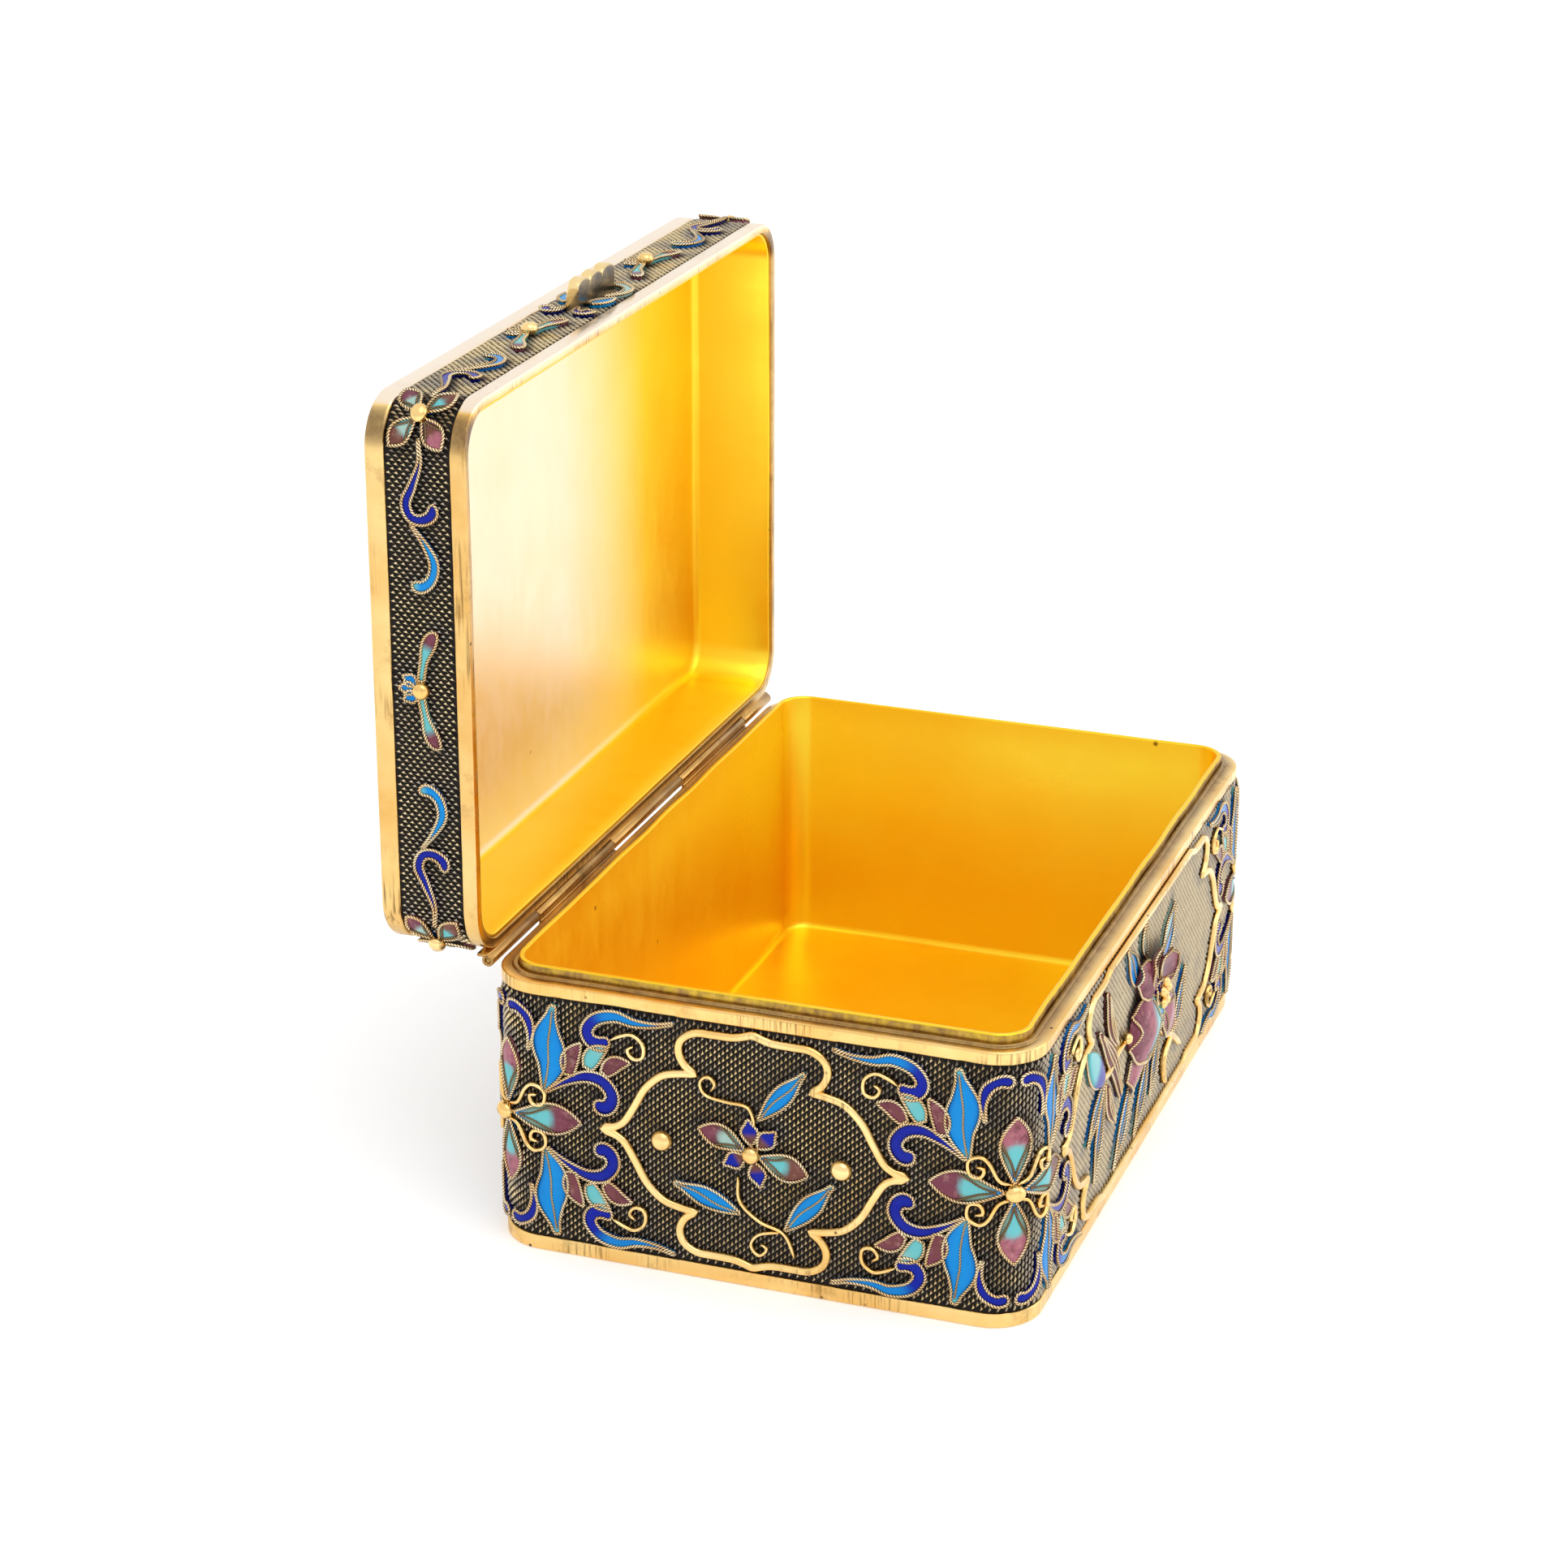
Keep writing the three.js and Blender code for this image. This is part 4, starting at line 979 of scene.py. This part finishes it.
def tube(batch, x0, x1, swing):
    """Hollow knuckle along the hinge axis."""
    bevel = 0.12
    ends = ((x0, BORE_RADIUS), (x0, KNUCKLE_RADIUS - bevel), (x0 + bevel, KNUCKLE_RADIUS),
            (x1 - bevel, KNUCKLE_RADIUS), (x1, KNUCKLE_RADIUS - bevel), (x1, BORE_RADIUS))
    loft(batch, swing, np.array([hinge_ring(x, radius, 28) for x, radius in ends]), True)


def bar(batch, low, high, swing, bevel=0.1):
    """Small bevelled bar between two corners."""
    (x0, y0, z0), (x1, y1, z1) = low, high
    rows = []
    for x, cut in ((x0, bevel), (x0 + bevel, 0), (x1 - bevel, 0), (x1, bevel)):
        ring = []
        for y, z, sy, sz in ((y0, z0, 1, 1), (y1, z0, -1, 1), (y1, z1, -1, -1), (y0, z1, 1, -1)):
            ring.append((x, y + sy * (cut + bevel), z + sz * cut))
            ring.append((x, y + sy * cut, z + sz * (cut + bevel)))
        rows.append([ring[1], ring[0], ring[2], ring[3], ring[5], ring[4], ring[6], ring[7]])
    loft(batch, swing, np.array(rows))


def hinge(material):
    """Five knuckles with their leaves, three on the lid and two on the body, and the pin."""
    box, lid, pin = Batch(), Batch(), Batch()
    start = -HINGE_LENGTH / 2
    for index, share in enumerate(KNUCKLES):
        span = share * HINGE_LENGTH
        x0, x1 = start + KNUCKLE_GAP / 2, start + span - KNUCKLE_GAP / 2
        on_lid = index % 2 == 0
        batch, swing, foot = (lid, opened, MOUTH_Z) if on_lid else (box, same, HEIGHT - LEAF_HEIGHT)
        tube(batch, x0, x1, swing)
        bar(batch, (x0, WIDTH / 2, foot), (x1, WIDTH / 2 + LEAF_THICK, foot + LEAF_HEIGHT), swing)
        start += span
    reach = HINGE_LENGTH / 2 - KNUCKLE_GAP
    ends = ((-reach, PIN_RADIUS - 0.1), (-reach + 0.1, PIN_RADIUS), (reach - 0.1, PIN_RADIUS),
            (reach, PIN_RADIUS - 0.1))
    loft(pin, same, np.array([hinge_ring(x, radius, 16) for x, radius in ends]))
    box.make("box_knuckles", material, "box", "gilt", "hinge_knuckle_box_1", "hinge_knuckle_box_2")
    lid.make("lid_knuckles", material, "lid", "gilt", "hinge_knuckle_lid_1", "hinge_knuckle_lid_2",
             "hinge_knuckle_lid_3")
    pin.make("hinge_wire", material, "box", "gilt", "hinge_pin")


def clasp(material):
    """Scalloped thumb piece: a flat tongue with a dull underside that stands out of the lid's band."""
    x = np.linspace(-CLASP_WIDTH / 2, CLASP_WIDTH / 2, 91)
    within = (x + CLASP_WIDTH / 2) % (CLASP_WIDTH / CLASP_LOBES) * CLASP_LOBES / CLASP_WIDTH
    hollow = 1 - np.sqrt(np.clip(1 - (2 * within - 1) ** 2, 0, 1))
    edge = CLASP_REACH - CLASP_SCALLOP * hollow
    foot, top = MOUTH_Z + CLASP_LIFT, MOUTH_Z + CLASP_LIFT + CLASP_THICK
    over = [(share, top - drop - 0.45 * share ** 2 * hollow, 1.0)
            for share, drop in ((0.0, 0.0), (0.5, 0.05), (0.85, 0.15), (0.97, 0.3), (1.0, 0.5))]
    under = [(1.0, foot + 0.3, 1.0), (0.98, foot + 0.06, 0.9), (0.9, foot, 0.0), (0.5, foot, 0.0),
             (0.0, foot, 0.1)]
    rows = np.array([np.stack([x, RECESS - WIDTH / 2 - edge * share, z + 0 * x], -1)
                     for share, z, _ in over + under]).transpose(1, 0, 2)
    tones = np.array([tone for _, _, tone in over + under])
    tongue = Batch()
    loft(tongue, opened, rows, tint=np.broadcast_to(tones[None, :, None], rows.shape))
    tongue.make("clasp_shell", material, "lid", "gilt", "lid_clasp", smooth=False)


# Materials

class Nodes:
    """Short hand for a material's node tree."""

    def __init__(self, name):
        self.material = bpy.data.materials.new(name)
        self.material.use_nodes = True
        self.tree = self.material.node_tree
        self.shader = self.tree.nodes["Principled BSDF"]
        place = self.tree.nodes.new("ShaderNodeTexCoord")
        self.where, self.facing = place.outputs["Object"], place.outputs["Normal"]

    def put(self, socket, value):
        """Links or writes one input."""
        if isinstance(value, bpy.types.NodeSocket):
            self.tree.links.new(value, socket)
        elif socket.type == "RGBA":
            socket.default_value = (*value, 1.0)
        else:
            socket.default_value = value

    def set(self, name, value):
        """Writes one input of the shader."""
        self.put(self.shader.inputs[name], value)

    def add(self, kind, out, inputs, **settings):
        """One output of a new node."""
        node = self.tree.nodes.new("ShaderNode" + kind)
        for key, value in settings.items():
            setattr(node, key, value)
        for key, value in inputs.items():
            self.put(node.inputs[key], value)
        return node.outputs[out]

    def noise(self, scale, detail, rough=0.6, stretch=None):
        where = self.where
        if stretch:
            where = self.add("Mapping", "Vector", {"Vector": where, "Scale": stretch})
        inputs = {"Scale": scale, "Detail": detail, "Roughness": rough, "Vector": where}
        return self.add("TexNoise", "Fac", inputs)

    def range(self, value, a, b, c=0.0, d=1.0):
        inputs = {"Value": value, "From Min": a, "From Max": b, "To Min": c, "To Max": d}
        return self.add("MapRange", "Result", inputs)

    def cloud(self, scale, detail, low, high, rough=0.6, stretch=None, to=(0.0, 1.0)):
        """Noise stretched to pass from the first number to the second between low and high."""
        return self.range(self.noise(scale, detail, rough, stretch), low, high, *to)

    def speckle(self, scale, low, high):
        """Small round dots."""
        distance = self.add("TexVoronoi", "Distance", {"Scale": scale, "Vector": self.where})
        return self.range(distance, low, high, 1, 0)

    def math(self, kind, a, b=0.0):
        return self.add("Math", "Value", {0: a, 1: b}, operation=kind)

    def times(self, first, *others):
        for value in others:
            first = self.math("MULTIPLY", first, value)
        return first

    def plus(self, first, *others):
        for value in others:
            first = self.math("ADD", first, value)
        return first

    def mix(self, weight, a, b):
        return self.add("Mix", 2, {"Factor": weight, 6: a, 7: b}, data_type="RGBA")

    def layer(self, under, over, *weights):
        """Lays one colour over another, as strongly as the weights multiplied."""
        return self.mix(self.times(*weights), under, over)

    def along(self):
        """Place along the box, from its left end to its right."""
        return self.add("SeparateXYZ", "X", {"Vector": self.where})

    def upright(self):
        """One on upright faces, nought on level ones."""
        level = self.math("ABSOLUTE", self.add("SeparateXYZ", "Z", {"Vector": self.facing}))
        return self.range(level, 0.3, 0.6, 1, 0)

    def tint(self):
        """Vertex colour."""
        return self.add("Attribute", "Color", {}, attribute_name="tint")

    def channel(self, name):
        """One channel of the vertex colour."""
        return self.add("SeparateColor", name, {"Color": self.tint()})

    def bump(self, height, strength, distance):
        inputs = {"Strength": strength, "Distance": distance, "Height": height}
        self.set("Normal", self.add("Bump", "Normal", inputs))


def gilt(name, bright, deep, rough, tarnish_and_sheen, stain_cover, dull=DULL_GILT):
    """Worn gilding: tone shifts, file marks, brown tarnish, dark pits, and a painted pale sheen where the
    tone is above one.
    """
    n = Nodes(name)
    tone = n.channel("Red")
    patches = n.cloud(160, 6, 0.66 - stain_cover, 0.84 - stain_cover, 0.7)
    marks = n.cloud(2600, 2, 0.5, 0.64, 0.5, (1.0, 1.0, 0.05))
    pits = n.times(n.speckle(420, 0.05, 0.13), n.cloud(150, 2, 0.5, 0.62))
    colour = n.mix(n.cloud(90, 3, 0.35, 0.7), bright, deep)
    colour = n.layer(colour, tarnish_and_sheen, patches, 0.5)
    colour = n.layer(colour, srgb(96, 62, 30), marks, n.cloud(60, 2, 0.5, 0.62), n.upright(), 0.75)
    colour = n.layer(colour, srgb(60, 42, 20), pits)
    colour = n.layer(colour, dull, n.range(tone, 0, 1, 1, 0), n.cloud(380, 4, 0.3, 0.6, 0.7, to=(0.7, 1.0)))
    # Painted pale sheen where the tone is above one.
    colour = n.layer(colour, srgb(252, 240, 226), n.range(tone, 1, 1.7, 0, 0.8))
    n.set("Base Color", colour)
    n.set("Metallic", 1.0)
    streaks = n.noise(500, 3, 0.7, (0.12, 0.12, 1.0))
    satin = n.range(n.plus(streaks, patches), 0.3, 1.3, rough - 0.08, rough + 0.2)
    n.set("Roughness", n.plus(satin, n.times(pits, 0.3)))
    n.bump(n.plus(streaks, n.noise(1500, 2, 0.6, (1.0, 1.0, 0.1)), n.times(pits, -1.5)), 0.25, 0.00003)
    return n.material


def inside_gilt(name):
    """Bright gilding of the inside, softly brushed, with cloudy reflections, a painted pale reflection on the
    lid's flat and a few specks.
    """
    n = Nodes(name)
    tone = n.channel("Red")
    broad = n.cloud(38, 3, 0.3, 0.75)
    colour = n.mix(broad, srgb(255, 220, 62), srgb(253, 208, 46))
    # Painted pale reflection, laid on the lid's flat where the tone is above one, fading out from the left
    # end towards the right.
    painted_reflection = n.mix(broad, srgb(248, 228, 200), srgb(246, 224, 184))
    colour = n.layer(colour, painted_reflection, n.range(tone, 1, 2), n.range(n.along(), 0.004, 0.034, 1, 0))
    streaked = n.mix(n.noise(1400, 2, 0.5, (1, 1, 0.08)), srgb(196, 156, 92), srgb(92, 64, 34))
    brown = n.times(n.range(tone, 0, 1, 1, 0), n.cloud(500, 4, 0.3, 0.6, 0.7, to=(0.5, 1.0)))
    colour = n.layer(colour, streaked, brown)
    colour = n.layer(colour, srgb(110, 70, 10), n.speckle(120, 0.02, 0.06), n.cloud(60, 1, 0.56, 0.62))
    n.set("Base Color", colour)
    n.set("Metallic", 1.0)
    brushed, cloudy = n.noise(420, 4, 0.7, (1.0, 0.1, 0.35)), n.noise(45, 4)
    satin = n.range(n.plus(brushed, cloudy), 0.7, 1.3, 0.26, 0.42)
    n.set("Roughness", n.plus(satin, n.range(tone, 1, 2, 0, 0.06)))
    n.bump(n.plus(brushed, n.times(cloudy, 1.5)), 0.15, 0.00006)
    return n.material


def woven_material(name):
    """Oxidised wire whose crests are worn bright away from the ornaments."""
    n = Nodes(name)
    worn = n.times(n.channel("Red"), n.cloud(110, 4, 0.3, 0.5))
    crest = n.mix(worn, srgb(190, 180, 166), srgb(255, 232, 178))
    crest = n.mix(n.cloud(900, 3, 0.35, 0.65, to=(0, 0.2)), crest, srgb(150, 134, 112))
    valley = n.mix(worn, srgb(40, 33, 28), srgb(126, 94, 58))
    n.set("Base Color", n.mix(n.range(n.channel("Green"), 0.1, 0.8), valley, crest))
    n.set("Metallic", 0.8)
    n.set("Specular Tint", srgb(142, 120, 92))
    n.set("Roughness", n.range(worn, 0, 1, 0.5, 0.32))
    n.bump(n.noise(4000, 2), 0.3, 0.00002)
    return n.material


def ground_material(name):
    """Blackened sheet behind the weave."""
    n = Nodes(name)
    n.set("Base Color", n.mix(n.noise(700, 3), srgb(10, 8, 7), srgb(34, 27, 20)))
    n.set("Metallic", 0.6)
    n.set("Roughness", n.cloud(900, 2, 0.3, 0.7, to=(0.55, 0.85)))
    n.bump(n.noise(1500, 3), 0.5, 0.00008)
    return n.material


def rope_material(name):
    """Twisted wire: bright strands with dark tarnish between them."""
    n = Nodes(name)
    wave = n.math("SINE", n.times(n.channel("Red"), 2 * math.pi))
    bright = n.mix(n.cloud(300, 3, 0.35, 0.65), srgb(255, 240, 202), srgb(240, 204, 148))
    bright = n.mix(n.channel("Green"), bright, srgb(92, 76, 60))
    n.set("Base Color", n.mix(n.range(wave, -0.8, 0.1), srgb(104, 74, 42), bright))
    n.set("Metallic", 1.0)
    n.set("Roughness", n.cloud(900, 2, 0.3, 0.7, to=(0.22, 0.42)))
    n.bump(wave, 0.6, 0.00006)
    return n.material


def enamel_material(name):
    """Glossy enamel, cloudy in depth, with fine pinholes and clots in its warm colours."""
    n = Nodes(name)
    tint = n.tint()
    warm = n.range(n.math("SUBTRACT", n.channel("Red"), n.channel("Blue")), 0.0, 0.06)
    holes = n.times(n.speckle(900, 0.04, 0.12), n.cloud(350, 2, 0.55, 0.65))
    colour = n.layer(tint, n.mix(0.06, tint, srgb(140, 165, 170)), n.cloud(420, 4, 0.3, 0.75, 0.65), 0.5)
    colour = n.layer(colour, srgb(74, 34, 34), n.cloud(520, 4, 0.5, 0.66, 0.7), warm, 0.6)
    colour = n.layer(colour, srgb(196, 150, 140), n.cloud(760, 3, 0.54, 0.7, 0.7), warm, 0.35)
    colour = n.layer(colour, n.mix(0.6, tint, srgb(10, 10, 24)), n.cloud(900, 3, 0.58, 0.72, 0.7), 0.2)
    colour = n.layer(colour, srgb(20, 16, 20), holes, 0.6)
    n.set("Base Color", colour)
    n.set("Roughness", n.cloud(600, 3, 0.3, 0.8, to=(0.12, 0.3)))
    n.set("Specular IOR Level", 0.14)
    n.bump(n.plus(n.noise(380, 3), n.times(holes, -0.8)), 0.25, 0.00012)
    return n.material


def floor_material():
    """White paper."""
    n = Nodes("floor_paint")
    n.set("Base Color", n.mix(n.noise(6, 2), srgb(252, 252, 253), srgb(254, 254, 254)))
    n.set("Roughness", 0.9)
    n.set("Emission Color", (1.0, 1.0, 1.0))
    n.set("Emission Strength", FLOOR_GLOW)
    return n.material


# Stage

def make_camera():
    """Camera of the photograph, from its azimuth, elevation, roll and distance."""
    a, e, roll = (math.radians(angle) for angle in (CAMERA_AZIMUTH, CAMERA_ELEVATION, CAMERA_ROLL))
    back = Vector((math.sin(a) * math.cos(e), -math.cos(a) * math.cos(e), math.sin(e)))
    right = Vector((math.cos(a), math.sin(a), 0))
    up = back.cross(right)
    x = right * math.cos(roll) + up * math.sin(roll)
    y = up * math.cos(roll) - right * math.sin(roll)
    data = bpy.data.cameras.new("camera")
    data.lens = FOCAL_PIXELS / IMAGE_PIXELS * SENSOR
    data.sensor_width = SENSOR
    data.clip_start, data.clip_end = 0.01, 20
    camera = bpy.data.objects.new("camera", data)
    bpy.context.scene.collection.objects.link(camera)
    place = (Vector(CAMERA_TARGET) + back * CAMERA_DISTANCE) * MM
    camera.matrix_world = Matrix.Translation(place) @ Matrix((x, y, back)).transposed().to_4x4()
    bpy.context.scene.camera = camera


def area_light(name, place, aim, size, power):
    """Round soft light that looks at a point."""
    data = bpy.data.lights.new(name, "AREA")
    data.shape = "DISK"
    data.size = size
    data.energy = power
    light = bpy.data.objects.new(name, data)
    light.location = place
    light.rotation_mode = "QUATERNION"
    light.rotation_quaternion = (Vector(aim) - Vector(place)).to_track_quat("-Z", "Y")
    bpy.context.scene.collection.objects.link(light)


def make_stage():
    """White floor, white surroundings and two soft lights."""
    bpy.context.scene.view_settings.view_transform = "Standard"
    bpy.ops.mesh.primitive_circle_add(vertices=96, radius=3, fill_type="NGON", location=(0, 0, -0.00005))
    floor = bpy.context.object
    floor.name = "floor"
    floor.data.materials.append(floor_material())
    world = bpy.data.worlds.new("studio")
    world.use_nodes = True
    world.node_tree.nodes["Background"].inputs["Color"].default_value = (1, 1, 1, 1)
    world.node_tree.nodes["Background"].inputs["Strength"].default_value = 1.0
    bpy.context.scene.world = world
    area_light("key", (-0.35, -0.45, 1.2), (0, 0, 0.03), 1.2, 4)
    area_light("front", (0.45, -1.0, 0.5), (0, 0.05, 0.08), 0.9, 2)


# Assembly

def body_ornaments(box, rear):
    """Cartouches, sprays, studs and the peony. The twisted wires of the rear are a piece of their own."""
    front, back = Spot(box, panel(0, BODY_Z)), Spot(rear, panel(BACK_MIDDLE, BODY_Z))
    cartouche(front, LONG_GROWTH)
    cartouche(back, LONG_GROWTH)
    middle_spray(back)
    peony(front)
    for side in (-1, 1):
        end = Spot(rear, panel(side * END_MIDDLE, BODY_Z))
        cartouche(end)
        middle_spray(end)
        corner_spray(box, side * FRONT_CORNER, side, True)
        corner_spray(rear, side * BACK_CORNER, -side, False)
        for u in (-STUD_PLACE, STUD_PLACE):
            dome(end, u, 0, STUD_RADIUS, 0.1)
            note_cover(end, np.array([[u, 0.0]]))


def lid_ornaments(lid):
    """Cartouche and sprays of the top, and the sprays and butterflies of the band."""
    top = Spot(lid, top_panel(0, 0))
    cartouche(top, LONG_GROWTH - 2, 9)
    middle_spray(top)
    for side in (-1, 1):
        band_spray(lid, side * FRONT_CORNER)
        band_spray(lid, side * BACK_CORNER)
        for middle in (side * END_MIDDLE, side * BUTTERFLY_SPREAD, BACK_MIDDLE + side * BUTTERFLY_SPREAD):
            butterfly(lid, middle)
    clasp_flower(lid)
    for side in (-1, 1):
        for end in (-1, 1):
            x, y = side * (LENGTH / 2 - TOP_SPRAY_INSET), end * (WIDTH / 2 - TOP_SPRAY_INSET)
            top_spray(Spot(lid, top_panel(x, y, -side, -end)))


def ornament_pieces(frame, enamel, rope, wire):
    """The enamels, twisted wires and gilt wires of the body and the lid."""
    box = {part: Batch() for part in ("enamel", "rope", "wire")}
    rear = {**box, "rope": Batch()}
    lid = {part: Batch() for part in ("enamel", "rope", "wire")}
    body_ornaments(box, rear)
    lid_ornaments(lid)

    def nodes(*starts):
        return [name for name in frame["nodes"] if name.startswith(starts)]

    sprays = nodes("peony", "spray_back", "spray_left", "spray_right", "corner_spray")
    lid_sprays = nodes("spray_lid", "lid_band", "lid_butterfly", "lid_top_spray")
    box["enamel"].make("box_enamels", enamel, "box", "enamel", *sprays)
    box["rope"].make("box_twisted_wires_front", rope, "box", "gilt")
    rear["rope"].make("box_twisted_wires_rear", rope, "box", "gilt")
    box["wire"].make("box_gilt_wires", wire, "box", "gilt", "cartouche_front", "cartouche_back",
                     "cartouche_left", "cartouche_right", *nodes("stud_"))
    lid["enamel"].make("lid_enamels", enamel, "lid", "enamel", *lid_sprays)
    lid["rope"].make("lid_twisted_wires", rope, "lid", "gilt")
    lid["wire"].make("lid_gilt_wires", wire, "lid", "gilt", "cartouche_lid")


def dress(frame):
    """Makes every material and piece."""
    enamel, rope = enamel_material("enamel_fired"), rope_material("wire_twisted")
    ground, weave = ground_material("ground_oxidised"), woven_material("wire_woven")
    wire = gilt("gilt_wire", srgb(255, 226, 160), srgb(240, 192, 110), 0.22, srgb(140, 98, 46), 0.06)
    rim = gilt("gilt_rims", srgb(250, 214, 142), srgb(236, 186, 104), 0.26, srgb(126, 92, 48), 0.1)
    inside = inside_gilt("gilt_inside")
    dark = gilt("gilt_hinge", srgb(214, 172, 104), srgb(170, 126, 70), 0.34, srgb(74, 52, 30), 0.14)
    worn = gilt("gilt_clasp", srgb(250, 222, 160), srgb(226, 180, 104), 0.28, srgb(120, 88, 50), 0.08,
                DULL_SILVER)
    ornament_pieces(frame, enamel, rope, wire)
    weaves(weave)
    base_plate(rim)
    base_rim(rim)
    top_rim(rim)
    box_liner(inside)
    lid_mouth_rim(rim)
    lid_top_rim(rim)
    lid_liner(inside)
    hinge(dark)
    clasp(worn)
    for name in ("box_weave_band", "lid_weave_band", "lid_weave_top"):
        node = frame["nodes"][name]
        node.data.materials.clear()
        node.data.materials.append(ground)


make_camera()
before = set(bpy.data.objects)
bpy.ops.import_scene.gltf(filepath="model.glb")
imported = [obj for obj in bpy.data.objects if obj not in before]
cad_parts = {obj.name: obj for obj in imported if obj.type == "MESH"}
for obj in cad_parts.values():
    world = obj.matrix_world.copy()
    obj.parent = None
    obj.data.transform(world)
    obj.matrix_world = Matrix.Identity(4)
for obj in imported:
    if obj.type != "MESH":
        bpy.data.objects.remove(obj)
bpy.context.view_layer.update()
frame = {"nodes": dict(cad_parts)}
dress(frame)
make_stage()
